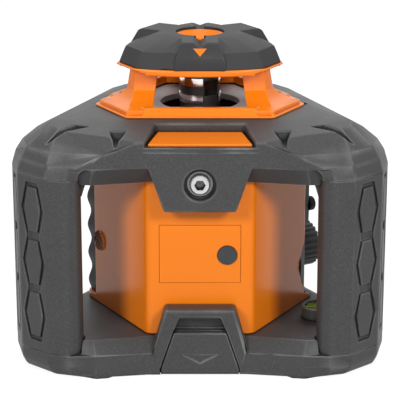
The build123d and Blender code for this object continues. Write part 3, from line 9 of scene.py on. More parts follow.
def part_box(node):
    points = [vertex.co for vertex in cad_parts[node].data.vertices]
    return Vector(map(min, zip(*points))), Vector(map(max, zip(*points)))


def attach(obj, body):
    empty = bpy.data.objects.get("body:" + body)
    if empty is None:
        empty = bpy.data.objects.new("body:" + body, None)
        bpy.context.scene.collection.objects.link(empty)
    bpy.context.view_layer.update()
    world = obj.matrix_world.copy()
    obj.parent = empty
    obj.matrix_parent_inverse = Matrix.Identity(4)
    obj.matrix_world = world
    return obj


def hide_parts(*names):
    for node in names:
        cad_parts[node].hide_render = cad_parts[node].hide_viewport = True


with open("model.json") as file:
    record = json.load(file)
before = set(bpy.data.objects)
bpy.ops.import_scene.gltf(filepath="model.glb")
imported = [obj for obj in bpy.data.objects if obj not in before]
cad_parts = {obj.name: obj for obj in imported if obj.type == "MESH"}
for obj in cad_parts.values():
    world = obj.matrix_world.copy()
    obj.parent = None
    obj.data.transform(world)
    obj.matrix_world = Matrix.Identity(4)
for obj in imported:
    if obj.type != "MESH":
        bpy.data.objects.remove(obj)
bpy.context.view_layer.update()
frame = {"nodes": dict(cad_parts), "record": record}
scene = bpy.context.scene
scene.view_settings.view_transform = "Standard"
slotOf = {part["node"]: part["material_slot"] for part in frame["record"]["subparts"]}
bodyOf = {node: body for body, members in frame["record"]["behaviour"]["bodies"].items() for node in members}
sideCount = 3  # the cage is the same on each side of the axis
upward = Vector((0.0, 0.0, 1.0))
print("frame loaded")


def placeObject(name, data):
    item = bpy.data.objects.new(name, data)
    scene.collection.objects.link(item)
    return item


cameraSettings = {"place": (0.0, -0.889, 0.341), "pitch": 0.291, "lens": 155.2, "sensor": 36.0,
                  "near": 0.05, "far": 20.0}
cameraData = bpy.data.cameras.new("photoCamera")
cameraData.lens = cameraSettings["lens"]
cameraData.sensor_width = cameraSettings["sensor"]
cameraData.clip_start = cameraSettings["near"]
cameraData.clip_end = cameraSettings["far"]
camera = placeObject("photoCamera", cameraData)
camera.location = cameraSettings["place"]
camera.rotation_euler = (math.pi / 2 - cameraSettings["pitch"], 0.0, 0.0)
scene.camera = camera
print("camera placed")

# place, aim, width and height, watts
lampSettings = {
    "leftLamp": ((-0.85, -1.25, 0.95), (0.0, 0.0, 0.08), (0.45, 0.45), 14.5),
    "rightLamp": ((0.85, -1.25, 0.95), (0.0, 0.0, 0.08), (0.45, 0.45), 16.0),
    "topLamp": ((0.0, 0.1, 1.2), (0.0, 0.0, 0.1), (0.8, 0.8), 3.0),
    "frontLamp": ((0.0, -1.5, 0.3), (0.0, 0.0, 0.08), (0.9, 0.4), 2.0),
    "backLamp": ((0.0, 0.85, 0.95), (0.0, 0.0, 0.12), (1.5, 0.7), 4.0),
}
for name, (place, aim, size, power) in lampSettings.items():
    lampData = bpy.data.lights.new(name, "AREA")
    lampData.shape = "RECTANGLE"
    lampData.size, lampData.size_y = size
    lampData.energy = power
    lamp = placeObject(name, lampData)
    lamp.location = place
    lamp.rotation_euler = (Vector(aim) - Vector(place)).to_track_quat("-Z", "Y").to_euler()


def newMaterial(name):
    material = bpy.data.materials.new(name)
    material.use_nodes = True
    tree = material.node_tree
    tree.nodes.clear()
    return material, tree, tree.nodes.new("ShaderNodeOutputMaterial")


def addNode(tree, kind, settings=None, **inputs):
    node = tree.nodes.new(kind)
    for key, value in (settings or {}).items():
        setattr(node, key, value)
    for key, value in inputs.items():
        plug(tree, value, node.inputs[key.replace("_", " ")])
    return node


def plug(tree, value, socket):
    if isinstance(value, bpy.types.NodeSocket):
        tree.links.new(value, socket)
    else:
        socket.default_value = value


def mathNode(tree, operation, first, second=0.0):
    node = addNode(tree, "ShaderNodeMath", {"operation": operation, "use_clamp": True})
    plug(tree, first, node.inputs[0])
    plug(tree, second, node.inputs[1])
    return node.outputs[0]


def mixColour(tree, share, first, second, blend="MIX"):
    node = addNode(tree, "ShaderNodeMix", {"data_type": "RGBA", "blend_type": blend})
    plug(tree, share, node.inputs["Factor"])
    plug(tree, first, node.inputs["A"])
    plug(tree, second, node.inputs["B"])
    return node.outputs["Result"]


def spread(tree, value, low, high, fromLow=0.0, fromHigh=1.0):
    node = addNode(tree, "ShaderNodeMapRange", Value=value, From_Min=fromLow, From_Max=fromHigh,
                   To_Min=low, To_Max=high)
    return node.outputs["Result"]


def noise(tree, place, scale, detail=3.0):
    return addNode(tree, "ShaderNodeTexNoise", Vector=place, Scale=scale, Detail=detail).outputs["Fac"]


def objectPlace(tree):
    return addNode(tree, "ShaderNodeTexCoord").outputs["Object"]


def shade(value):
    return (*value, 1.0)


white = shade((1.0, 1.0, 1.0))
# what all finishes share: the stretch of each pattern that counts, and how finely it is sampled
finishSettings = {"grooveRange": (0.42, 0.9), "grooveSamples": 8, "edgeRange": (0.965, 0.9985), "edgeSamples": 6,
                  "wearRange": (0.35, 0.65), "fleckRange": (0.45, 0.75), "glossRange": (0.3, 0.7),
                  "smearRange": (0.4, 0.8), "lineDetail": 4.0}


# painted shade: ambient occlusion darkens the colour in grooves, parting lines and inner corners
def paintCreviceShade(tree, colour, settings):
    hollow = addNode(tree, "ShaderNodeAmbientOcclusion", {"samples": finishSettings["grooveSamples"]},
                     Distance=settings["grooveReach"])
    share = spread(tree, hollow.outputs["AO"], settings["grooveShade"], 1.0, *finishSettings["grooveRange"])
    return mixColour(tree, 1.0, colour, share, "MULTIPLY")


# roughness that swings both ways with a pattern
def glossFrom(tree, pattern, settings, fromLow=0.0, fromHigh=1.0):
    middle, swing = settings["rough"], settings["roughSpread"]
    return spread(tree, pattern, middle - swing, middle + swing, fromLow, fromHigh)


# moulded plastic and rubber: spark-eroded grain, slow colour drift, edges lightened as wear and as painted
# highlights, painted shade in grooves
def makeMoulded(name, settings):
    material, tree, output = newMaterial(name)
    place = objectPlace(tree)
    grain = noise(tree, place, settings["grainScale"])
    cloud = noise(tree, place, settings["cloudScale"])
    geometry = addNode(tree, "ShaderNodeNewGeometry")
    rounding = addNode(tree, "ShaderNodeBevel", {"samples": finishSettings["edgeSamples"]},
                       Radius=settings["edgeRadius"])
    likeness = addNode(tree, "ShaderNodeVectorMath", {"operation": "DOT_PRODUCT"})
    tree.links.new(rounding.outputs["Normal"], likeness.inputs[0])
    tree.links.new(geometry.outputs["True Normal"], likeness.inputs[1])
    # edges are lightened both as rubbed wear and as painted highlights
    edge = spread(tree, likeness.outputs["Value"], 1.0, 0.0, *finishSettings["edgeRange"])
    patches = spread(tree, cloud, 0.0, settings["wearAndHighlight"], *finishSettings["wearRange"])
    rubAndHighlight = mathNode(tree, "MULTIPLY", edge, patches)
    wornAndHighlight = shade(settings["wornAndHighlight"])
    drift = mixColour(tree, cloud, shade(settings["dark"]), shade(settings["light"]))
    specks = spread(tree, grain, 0.0, settings["fleck"], *finishSettings["fleckRange"])
    flecked = mixColour(tree, specks, drift, wornAndHighlight)
    # painted shade darkens the colour in grooves and parting lines
    colour = paintCreviceShade(tree, mixColour(tree, rubAndHighlight, flecked, wornAndHighlight), settings)
    gloss = glossFrom(tree, grain, settings, *finishSettings["glossRange"])
    bump = addNode(tree, "ShaderNodeBump", Height=grain, Normal=rounding.outputs["Normal"],
                   Strength=settings["bump"], Distance=settings["bumpDepth"])
    shader = addNode(tree, "ShaderNodeBsdfPrincipled", Base_Color=colour, Roughness=gloss,
                     Normal=bump.outputs["Normal"])
    shader.inputs["Specular IOR Level"].default_value = settings["specular"]
    tree.links.new(shader.outputs[0], output.inputs["Surface"])
    return material


# metals: fine machining lines or cast grain, with painted shade in grooves
def makeMetal(name, settings):
    material, tree, output = newMaterial(name)
    place = objectPlace(tree)
    stretch = addNode(tree, "ShaderNodeMapping", Vector=place, Scale=settings["stretch"])
    grain = noise(tree, stretch.outputs["Vector"], settings["grainScale"], finishSettings["lineDetail"])
    cloud = noise(tree, place, settings["cloudScale"])
    drift = mixColour(tree, cloud, shade(settings["dark"]), shade(settings["light"]))
    # painted shade darkens the metal's colour in grooves and sockets
    colour = paintCreviceShade(tree, drift, settings)
    gloss = glossFrom(tree, grain, settings, *finishSettings["glossRange"])
    bump = addNode(tree, "ShaderNodeBump", Height=grain, Strength=settings["bump"],
                   Distance=settings["bumpDepth"])
    shader = addNode(tree, "ShaderNodeBsdfPrincipled", Base_Color=colour, Roughness=gloss, Metallic=1.0,
                     Normal=bump.outputs["Normal"])
    tree.links.new(shader.outputs[0], output.inputs["Surface"])
    return material


# glass and fluid: faint smears in the polish
def makeClear(name, settings):
    material, tree, output = newMaterial(name)
    smear = noise(tree, objectPlace(tree), settings["smearScale"])
    gloss = spread(tree, smear, settings["rough"], settings["rough"] + settings["roughSpread"],
                   *finishSettings["smearRange"])
    colour = mixColour(tree, smear, shade(settings["dark"]), shade(settings["light"]))
    shader = addNode(tree, "ShaderNodeBsdfPrincipled", Base_Color=colour, Roughness=gloss)
    shader.inputs["Transmission Weight"].default_value = settings["clear"]
    shader.inputs["IOR"].default_value = settings["ior"]
    shader.inputs["Alpha"].default_value = settings["cover"]  # under 1 it lets light through to what lies under it
    tree.links.new(shader.outputs[0], output.inputs["Surface"])
    return material


# green board with copper runs under the lacquer
def makeBoard(name, settings):
    material, tree, output = newMaterial(name)
    place = objectPlace(tree)
    board = shade(settings["board"])
    runs = addNode(tree, "ShaderNodeTexBrick", Vector=place, Scale=settings["runScale"], Color1=board,
                   Color2=board, Mortar=shade(settings["copper"]))
    gloss = glossFrom(tree, noise(tree, place, settings["grainScale"]), settings)
    bump = addNode(tree, "ShaderNodeBump", Height=runs.outputs["Fac"], Strength=settings["bump"],
                   Distance=settings["bumpDepth"])
    shader = addNode(tree, "ShaderNodeBsdfPrincipled", Base_Color=runs.outputs["Color"], Roughness=gloss,
                     Normal=bump.outputs["Normal"])
    tree.links.new(shader.outputs[0], output.inputs["Surface"])
    return material


# in each finish the groove settings set the painted shade in grooves, and the worn colour and wear amount lighten
# edges, partly as wear and partly as painted highlight
charcoalSettings = {"dark": (0.028, 0.028, 0.029), "light": (0.038, 0.038, 0.039), "wornAndHighlight": (0.22, 0.22, 0.22),
                    "grainScale": 1700.0, "cloudScale": 45.0, "edgeRadius": 0.0009, "wearAndHighlight": 0.9, "fleck": 0.2,
                    "rough": 0.5, "roughSpread": 0.1, "bump": 0.6, "bumpDepth": 0.00014, "specular": 0.4,
                    "grooveReach": 0.003, "grooveShade": 0.08}
orangeSettings = {"dark": (0.86, 0.2, 0.005), "light": (0.9, 0.22, 0.007), "wornAndHighlight": (1.0, 0.34, 0.06),
                  "grainScale": 900.0, "cloudScale": 25.0, "edgeRadius": 0.0005, "wearAndHighlight": 0.25, "fleck": 0.0,
                  "rough": 0.24, "roughSpread": 0.03, "bump": 0.015, "bumpDepth": 0.00008, "specular": 0.3,
                  "grooveReach": 0.001, "grooveShade": 0.5}
rubberSettings = {"dark": (0.018, 0.018, 0.019), "light": (0.026, 0.026, 0.027), "wornAndHighlight": (0.12, 0.12, 0.12),
                  "grainScale": 2200.0, "cloudScale": 60.0, "edgeRadius": 0.0006, "wearAndHighlight": 0.4, "fleck": 0.12,
                  "rough": 0.6, "roughSpread": 0.1, "bump": 0.35, "bumpDepth": 0.0001, "specular": 0.28,
                  "grooveReach": 0.0012, "grooveShade": 0.45}
deckSettings = {"dark": (0.42, 0.43, 0.44), "light": (0.5, 0.51, 0.52), "wornAndHighlight": (0.6, 0.6, 0.6),
                "grainScale": 1500.0, "cloudScale": 50.0, "edgeRadius": 0.0003, "wearAndHighlight": 0.2, "fleck": 0.1,
                "rough": 0.45, "roughSpread": 0.1, "bump": 0.2, "bumpDepth": 0.0001, "specular": 0.4,
                "grooveReach": 0.001, "grooveShade": 0.4}
blackSettings = {"dark": (0.018, 0.017, 0.018), "light": (0.03, 0.028, 0.029), "wornAndHighlight": (0.08, 0.08, 0.08),
                 "grainScale": 2000.0, "cloudScale": 60.0, "edgeRadius": 0.0003, "wearAndHighlight": 0.3, "fleck": 0.1,
                 "rough": 0.35, "roughSpread": 0.08, "bump": 0.15, "bumpDepth": 0.0001, "specular": 0.5,
                 "grooveReach": 0.001, "grooveShade": 0.3}
beltSettings = {"dark": (0.015, 0.015, 0.015), "light": (0.028, 0.027, 0.026), "wornAndHighlight": (0.06, 0.06, 0.06),
                "grainScale": 2600.0, "cloudScale": 90.0, "edgeRadius": 0.0001, "wearAndHighlight": 0.3, "fleck": 0.2,
                "rough": 0.7, "roughSpread": 0.1, "bump": 0.3, "bumpDepth": 0.0001, "specular": 0.3,
                "grooveReach": 0.001, "grooveShade": 0.3}
steelSettings = {"dark": (0.5, 0.5, 0.51), "light": (0.62, 0.62, 0.63), "stretch": (1.0, 1.0, 6.0),
                 "grainScale": 1200.0, "cloudScale": 120.0, "rough": 0.26, "roughSpread": 0.08, "bump": 0.06,
                 "bumpDepth": 0.00005, "grooveReach": 0.004, "grooveShade": 0.03}
polishedSettings = {"dark": (0.74, 0.72, 0.71), "light": (0.82, 0.8, 0.79), "stretch": (1.0, 1.0, 12.0),
                    "grainScale": 900.0, "cloudScale": 80.0, "rough": 0.1, "roughSpread": 0.04, "bump": 0.02,
                    "bumpDepth": 0.00003, "grooveReach": 0.0005, "grooveShade": 0.5}
brassSettings = {"dark": (0.62, 0.42, 0.15), "light": (0.75, 0.53, 0.22), "stretch": (1.0, 1.0, 8.0),
                 "grainScale": 1000.0, "cloudScale": 90.0, "rough": 0.28, "roughSpread": 0.08, "bump": 0.05,
                 "bumpDepth": 0.00005, "grooveReach": 0.003, "grooveShade": 0.3}
castSettings = {"dark": (0.5, 0.5, 0.5), "light": (0.62, 0.62, 0.63), "stretch": (1.0, 1.0, 1.0),
                "grainScale": 1600.0, "cloudScale": 60.0, "rough": 0.5, "roughSpread": 0.12, "bump": 0.4,
                "bumpDepth": 0.0001, "grooveReach": 0.002, "grooveShade": 0.4}
glassSettings = {"dark": (0.93, 0.96, 0.95), "light": (0.98, 0.99, 0.98), "smearScale": 140.0,
                 "rough": 0.015, "roughSpread": 0.05, "clear": 1.0, "ior": 1.5, "cover": 0.45}
fluidSettings = {"dark": (0.42, 0.62, 0.02), "light": (0.55, 0.75, 0.05), "smearScale": 200.0,
                 "rough": 0.03, "roughSpread": 0.03, "clear": 0.35, "ior": 1.36, "cover": 1.0}
lensSettings = {"dark": (0.012, 0.014, 0.018), "light": (0.022, 0.025, 0.03), "smearScale": 220.0,
                "rough": 0.08, "roughSpread": 0.1, "clear": 0.0, "ior": 1.55, "cover": 1.0}
boardSettings = {"board": (0.02, 0.12, 0.05), "copper": (0.08, 0.22, 0.07), "runScale": 180.0,
                 "grainScale": 900.0, "rough": 0.35, "roughSpread": 0.08, "bump": 0.2, "bumpDepth": 0.00005}
slotMaterials = {
    "charcoal_plastic": makeMoulded("charcoalPlastic", charcoalSettings),
    "orange_plastic": makeMoulded("orangePlastic", orangeSettings),
    "black_rubber": makeMoulded("blackRubber", rubberSettings),
    "deck_plastic": makeMoulded("deckPlastic", deckSettings),
    "black_plastic": makeMoulded("blackPlastic", blackSettings),
    "belt_rubber": makeMoulded("beltRubber", beltSettings),
    "steel": makeMetal("screwSteel", steelSettings),
    "polished_steel": makeMetal("polishedSteel", polishedSettings),
    "brass": makeMetal("turnedBrass", brassSettings),
    "cast_aluminium": makeMetal("castAluminium", castSettings),
    "clear_glass": makeClear("clearGlass", glassSettings),
    "vial_fluid": makeClear("vialFluid", fluidSettings),
    "dark_lens": makeClear("darkLens", lensSettings),
    "circuit_board": makeBoard("circuitBoard", boardSettings),
}
for node, item in frame["nodes"].items():
    item.data.materials.clear()
    item.data.materials.append(slotMaterials[slotOf[node]])
print("materials set")


# 1 for rays that show the ground to the eye, in a mirror or through glass
def seenShare(tree):
    path = addNode(tree, "ShaderNodeLightPath")
    seen = mathNode(tree, "MAXIMUM", path.outputs["Is Camera Ray"], path.outputs["Is Glossy Ray"])
    return mathNode(tree, "MAXIMUM", seen, path.outputs["Is Transmission Ray"])


# the floor is white to the eye and mirrors, and a shadow darkens its lit share
def makePaper(name, settings):
    material, tree, output = newMaterial(name)
    fibre = spread(tree, noise(tree, objectPlace(tree), settings["fibreScale"]),
                   settings["paper"] - settings["fibreSpread"], settings["paper"])
    lit = addNode(tree, "ShaderNodeBsdfDiffuse", Color=fibre)
    dim = addNode(tree, "ShaderNodeBsdfDiffuse", Color=shade((settings["shadow"],) * 3))
    glow = addNode(tree, "ShaderNodeEmission", Color=white, Strength=settings["glow"])
    shown = addNode(tree, "ShaderNodeAddShader")
    tree.links.new(dim.outputs[0], shown.inputs[0])
    tree.links.new(glow.outputs[0], shown.inputs[1])
    choose = addNode(tree, "ShaderNodeMixShader", Fac=seenShare(tree))
    tree.links.new(lit.outputs[0], choose.inputs[1])
    tree.links.new(shown.outputs[0], choose.inputs[2])
    tree.links.new(choose.outputs[0], output.inputs["Surface"])
    return material


floorSettings = {"half": 6.0, "paper": 0.5, "fibreSpread": 0.01, "fibreScale": 400.0, "shadow": 0.3, "glow": 0.85}
floorCorners = [(x * floorSettings["half"], y * floorSettings["half"], 0.0)
                for x, y in ((-1, -1), (1, -1), (1, 1), (-1, 1))]
floorMesh = bpy.data.meshes.new("floorSheet")
floorMesh.from_pydata(floorCorners, [], [(0, 1, 2, 3)])
floorMesh.materials.append(makePaper("floorPaper", floorSettings))
floorSheet = placeObject("floorSheet", floorMesh)

worldSettings = {"fill": 0.12, "seen": 1.0}
world = bpy.data.worlds.new("studioWorld")
scene.world = world
world.use_nodes = True
worldTree = world.node_tree
worldTree.nodes.clear()
worldStrength = spread(worldTree, seenShare(worldTree), worldSettings["fill"], worldSettings["seen"])
worldLight = addNode(worldTree, "ShaderNodeBackground", Color=white, Strength=worldStrength)
addNode(worldTree, "ShaderNodeOutputWorld", Surface=worldLight.outputs[0])
print("stage lit")

# what holds for every rounded piece unless its own settings say otherwise
roundingSettings = {"weld": 2e-6, "flatAngle": math.radians(0.7), "sharpAngle": math.radians(24.0),
                    "sameLevel": 1e-5, "samePoint": 2e-4, "leastReach": 0.00004, "inner": 0.0003, "sides": 60,
                    "segments": 3, "joints": (), "wide": ()}
# share of the free room that a rounding takes, and how that room is felt for
roomSettings = {"keepShare": 0.42, "most": 1.0, "goesOn": -0.8, "probes": (-0.4, 0.0, 0.4), "least": 1e-7}


# room along the edges that meet an edge at its ends
def endRoom(edge, along, sharpEdges):
    room = roomSettings["most"]
    for vert in edge.verts:
        away = along if vert is edge.verts[0] else -along
        for other in vert.link_edges:
            if other is edge:
                continue
            way = (other.other_vert(vert).co - vert.co).normalized()
            if other in sharpEdges and away.dot(way) < roomSettings["goesOn"]:  # the same edge goes on
                continue
            room = min(room, other.calc_length())
    return room


# room across the faces beside an edge
def faceRoom(edge, along, span):
    room = roomSettings["most"]
    middle = (edge.verts[0].co + edge.verts[1].co) / 2
    for face in edge.link_faces:
        inward = face.normal.cross(along)
        if inward.dot(face.calc_center_median() - middle) < 0:
            inward = -inward
        for step in roomSettings["probes"]:
            start = middle + along * span * step
            for other in face.edges:
                if other is edge:
                    continue
                first, second = other.verts[0].co - start, other.verts[1].co - start
                ahead, behind = first.dot(along), second.dot(along)
                if (ahead > 0) == (behind > 0):
                    continue
                rise = second.dot(inward) - first.dot(inward)
                reach = first.dot(inward) + rise * ahead / (ahead - behind)
                if reach > roomSettings["least"]:
                    room = min(room, reach)
    return room


# how far a rounding may reach into the faces and edges beside an edge
def edgeRoom(edge, sharpEdges):
    span = edge.calc_length()
    along = (edge.verts[1].co - edge.verts[0].co) / span
    return min(endRoom(edge, along, sharpEdges), faceRoom(edge, along, span)) * roomSettings["keepShare"]


# the set width of an edge named in a piece's settings, at any of the three sides
def namedReach(edge, settings):
    for first, second, reach in settings["wide"]:
        for turn in range(sideCount):
            spin = Matrix.Rotation(turn * math.tau / sideCount, 3, "Z")
            ends = spin @ Vector(first), spin @ Vector(second)
            if all(min((v.co - end).length for end in ends) < settings["samePoint"] for v in edge.verts):
                return reach
    return None


def edgeReach(edge, settings, sharpEdges):
    named = namedReach(edge, settings)
    if named:
        return named
    most = settings["width"] if edge.is_convex else min(settings["width"], settings["inner"])
    for level in settings["joints"]:
        if all(abs(v.co.z - level) < settings["sameLevel"] for v in edge.verts):
            most = min(most, settings["jointWidth"])
    return min(most, edgeRoom(edge, sharpEdges))


# chain of tall hexagons pressed into both facets of a post, three plates standing in one groove
chainSettings = {"ridge": 0.1065, "shoulder": (0.1005, 0.0195), "centre": 0.01045, "middle": 0.05975,
                 "pitch": 0.028, "tip": 0.0083, "flat": 0.0044, "top": 0.0141, "groove": 0.0024,
                 "plateTop": 0.0116, "depth": 0.0016, "draft": 0.0003, "oldReach": (0.0025, 0.0199),
                 "oldHeight": 0.0395, "oldDepth": 0.001}


def closedOutline(right):
    return right + [(-u, v) for u, v in reversed(right)]


def chainOutline(inset):
    tip, flat = chainSettings["tip"] - inset, chainSettings["flat"] - inset / 2
    top, pitch = chainSettings["top"] - inset, chainSettings["pitch"]
    waist = tip - (tip - flat) * min(pitch / 2 / top, 1.0)
    return closedOutline([(flat, -pitch - top), (tip, -pitch), (waist, -pitch / 2), (tip, 0.0),
                          (waist, pitch / 2), (tip, pitch), (flat, pitch + top)])


def plateOutline(middle, inset):
    tip = chainSettings["tip"] - chainSettings["groove"] - inset
    flat = chainSettings["flat"] - (chainSettings["groove"] + inset) / 2
    top = chainSettings["plateTop"] - inset
    return closedOutline([(flat, middle - top), (tip, middle), (flat, middle + top)])


# a point on the post's ridge, the way across the facet and the way out of it
def chainFacet(degrees, hand):
    turn = Matrix.Rotation(math.radians(degrees), 3, "Z")
    ridge = turn @ Vector((chainSettings["ridge"], 0.0, chainSettings["middle"]))
    out, half = chainSettings["shoulder"]
    along = (turn @ Vector((out, hand * half, chainSettings["middle"])) - ridge).normalized()
    return ridge, along, along.cross(upward) * hand


def onFacet(vert, facet):
    ridge, along, normal = facet
    away = vert.co - ridge
    return away.dot(along), away.z, away.dot(normal)


# vertices of the single hexagons that the chain takes the place of
def isOldGroove(vert, facet):
    reach, height, lift = onFacet(vert, facet)
    near, far = chainSettings["oldReach"]
    level = abs(height) < chainSettings["oldHeight"] and abs(lift) < chainSettings["oldDepth"]
    return level and near < reach < far


def isFlush(face, facet):
    return all(abs(onFacet(v, facet)[2]) < roundingSettings["sameLevel"] for v in face.verts)


# wall from an outline on the facet down to one on the groove's floor
def wallRings(work, facet, upper, lower):
    ridge, along, normal = facet
    centre = ridge + along * chainSettings["centre"]
    rings = [[work.verts.new(centre + along * u + upward * v - normal * sink) for u, v in points]
             for points, sink in ((upper, 0.0), (lower, chainSettings["depth"]))]
    count = len(upper)
    for i in range(count):
        j = (i + 1) % count
        work.faces.new([rings[0][i], rings[0][j], rings[1][j], rings[1][i]])
    return rings


def ringEdges(work, ring):
    return [work.edges.get((ring[i - 1], ring[i])) for i in range(len(ring))]


def cutChains(work, degrees):
    draft = chainSettings["draft"]
    for hand in (-1.0, 1.0):
        facet = chainFacet(degrees, hand)
        bmesh.ops.delete(work, geom=[v for v in work.verts if isOldGroove(v, facet)], context="VERTS")
        bmesh.ops.delete(work, geom=[f for f in work.faces if isFlush(f, facet)], context="FACES")
        rimEdges = [e for e in work.edges if e.is_boundary]
        rim, grooveFoot = wallRings(work, facet, chainOutline(0.0), chainOutline(draft))
        rimEdges += ringEdges(work, rim)
        floorEdges = ringEdges(work, grooveFoot)
        for step in (-1, 0, 1):
            middle = step * chainSettings["pitch"]
            plate, plateFoot = wallRings(work, facet, plateOutline(middle, 0.0), plateOutline(middle, -draft))
            work.faces.new(plate)
            floorEdges += ringEdges(work, plateFoot)
        for edges in (rimEdges, floorEdges):
            bmesh.ops.triangle_fill(work, use_beauty=True, edges=edges, normal=facet[2])
    bmesh.ops.recalc_face_normals(work, faces=work.faces)


# a node's mesh with its loose triangles merged
def weldedCopy(node):
    source = frame["nodes"][node].data
    mesh = bpy.data.meshes.new(node + "Copy")
    mesh.from_pydata([tuple(v.co) for v in source.vertices], [], [tuple(p.vertices) for p in source.polygons])
    work = bmesh.new()
    work.from_mesh(mesh)
    bpy.data.meshes.remove(mesh)
    bmesh.ops.remove_doubles(work, verts=work.verts, dist=roundingSettings["weld"])
    return work


def evaluatedMesh(item):
    bpy.context.view_layer.update()
    return bpy.data.meshes.new_from_object(item.evaluated_get(bpy.context.evaluated_depsgraph_get()))


def addBevel(piece, width, segments):
    bevel = piece.modifiers.new("rounding", "BEVEL")
    bevel.width = width
    bevel.segments = segments
    return bevel


# a copy of a moulded piece with its edges rounded as far as each edge has room
def roundPiece(node, ownSettings):
    settings = {**roundingSettings, **ownSettings}
    work = weldedCopy(node)
    bmesh.ops.dissolve_degenerate(work, edges=work.edges, dist=settings["weld"])
    if "chain" in settings:
        cutChains(work, settings["chain"])
    bmesh.ops.dissolve_limit(work, angle_limit=settings["flatAngle"], verts=work.verts, edges=work.edges)
    work.normal_update()
    weights = work.edges.layers.float.new("bevel_weight_edge")
    sharpEdges = {e for e in work.edges if e.calc_face_angle(0.0) > settings["sharpAngle"]}
    for edge in work.edges:
        edge.smooth = edge not in sharpEdges
        if edge.smooth:
            continue
        reach = edgeReach(edge, settings, sharpEdges)
        edge[weights] = reach / settings["width"] if reach > settings["leastReach"] else 0.0
    for face in work.faces:
        face.smooth = True
    manySided = [face for face in work.faces if len(face.verts) > settings["sides"]]
    bmesh.ops.triangulate(work, faces=manySided)  # so that rings stay open
    mesh = bpy.data.meshes.new(node + "Rounded")
    work.to_mesh(mesh)
    work.free()
    piece = placeObject(node + "Rounded", mesh)
    mesh.materials.append(slotMaterials[slotOf[node]])
    bevel = addBevel(piece, settings["width"], settings["segments"])
    bevel.limit_method = "WEIGHT"
    bevel.use_clamp_overlap = False
    bevel.loop_slide = False
    bevel.harden_normals = True
    if "ceiling" in settings:  # roundings that meet at a corner can rise above the top face
        lowered = evaluatedMesh(piece)
        for vert in lowered.vertices:
            vert.co.z = min(vert.co.z, settings["ceiling"])
        piece.modifiers.clear()
        piece.data = lowered
    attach(piece, bodyOf[node])
    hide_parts(node)


# an edge on the left and its mirror image on the right, with the width that both get
def bothHands(first, second, reach):
    return tuple(((hand * first[0], *first[1:]), (hand * second[0], *second[1:]), reach) for hand in (1.0, -1.0))


cageJoints = {"joints": (0.0125, 0.105), "jointWidth": 0.00035}
postRounding = {"width": 0.0022, "inner": 0.0004, "segments": 6, **cageJoints,
                "wide": (((0.0, 0.1065, 0.0125), (0.0, 0.1065, 0.105), 0.0013),)}
keySettings = {"count": 8, "width": 0.0008}
roundSettings = {
    "base_tray": {"width": 0.0016, "inner": 0.0006, **cageJoints,
                  "wide": bothHands((-0.0179, -0.066, 0.036), (-0.0244, -0.066, 0.0125), 0.0016)},
    "post_front_left": {"chain": 210.0, **postRounding},
    "post_front_right": {"chain": 330.0, **postRounding},
    "post_rear": {"chain": 90.0, **postRounding},
    "top_shell": {"width": 0.0011, "inner": 0.00015, **cageJoints,
                  "wide": (*bothHands((-0.0255, -0.0666, 0.11), (-0.018, -0.0666, 0.088), 0.0011),
                           ((-0.018, -0.0666, 0.088), (0.018, -0.0666, 0.088), 0.0011))},
    "main_housing": {"width": 0.0007},
    "lantern_frame": {"width": 0.0011, "inner": 0.0},
    "head_cap": {"width": 0.0014, "inner": 0.0, "joints": (0.167,), "jointWidth": 0.0003, "ceiling": 0.167,
                 "sides": 14,
                 "wide": bothHands((-0.03748, -0.0126, 0.16192), (-0.02965, -0.02616, 0.16192), 0.0003)},
    "battery_hatch": {"width": 0.0008},
    "knob": {"width": 0.0005},
    "knob_dish": {"width": 0.0008},
    "knob_mat": {"width": 0.0007},
    "power_button": {"width": 0.0009},
    "vial_holder": {"width": 0.0005},
    "badge_plate": {"width": 0.0004},
}
for keyNumber in range(1, keySettings["count"] + 1):
    roundSettings[f"key_{keyNumber}"] = {"width": keySettings["width"]}
for node, settings in roundSettings.items():
    roundPiece(node, settings)
print("edges rounded")

# socket-head screws, one in each shield; all of these are inputs of the tree
screwSettings = {"headRadius": 0.005, "headHeight": 0.0034, "chamfer": 0.0006, "socketRadius": 0.0029,
                 "socketDepth": 0.0032, "washerRadius": 0.0064, "washerHeight": 0.0009, "seatOut": 0.0622,
                 "seatHeight": 0.102, "firstTurn": math.radians(270)}
screwFaces = {"round": 48, "hexagon": 6, "sharpAngle": math.radians(30)}


def liftNode(tree, height):
    return addNode(tree, "ShaderNodeCombineXYZ", Z=height).outputs[0]


def cylinder(tree, steps, radius, depth):
    return addNode(tree, "GeometryNodeMeshCylinder", Vertices=steps, Radius=radius, Depth=depth)


def lifted(tree, geometry, height):
    return addNode(tree, "GeometryNodeTransform", Geometry=geometry,
                   Translation=liftNode(tree, height)).outputs["Geometry"]


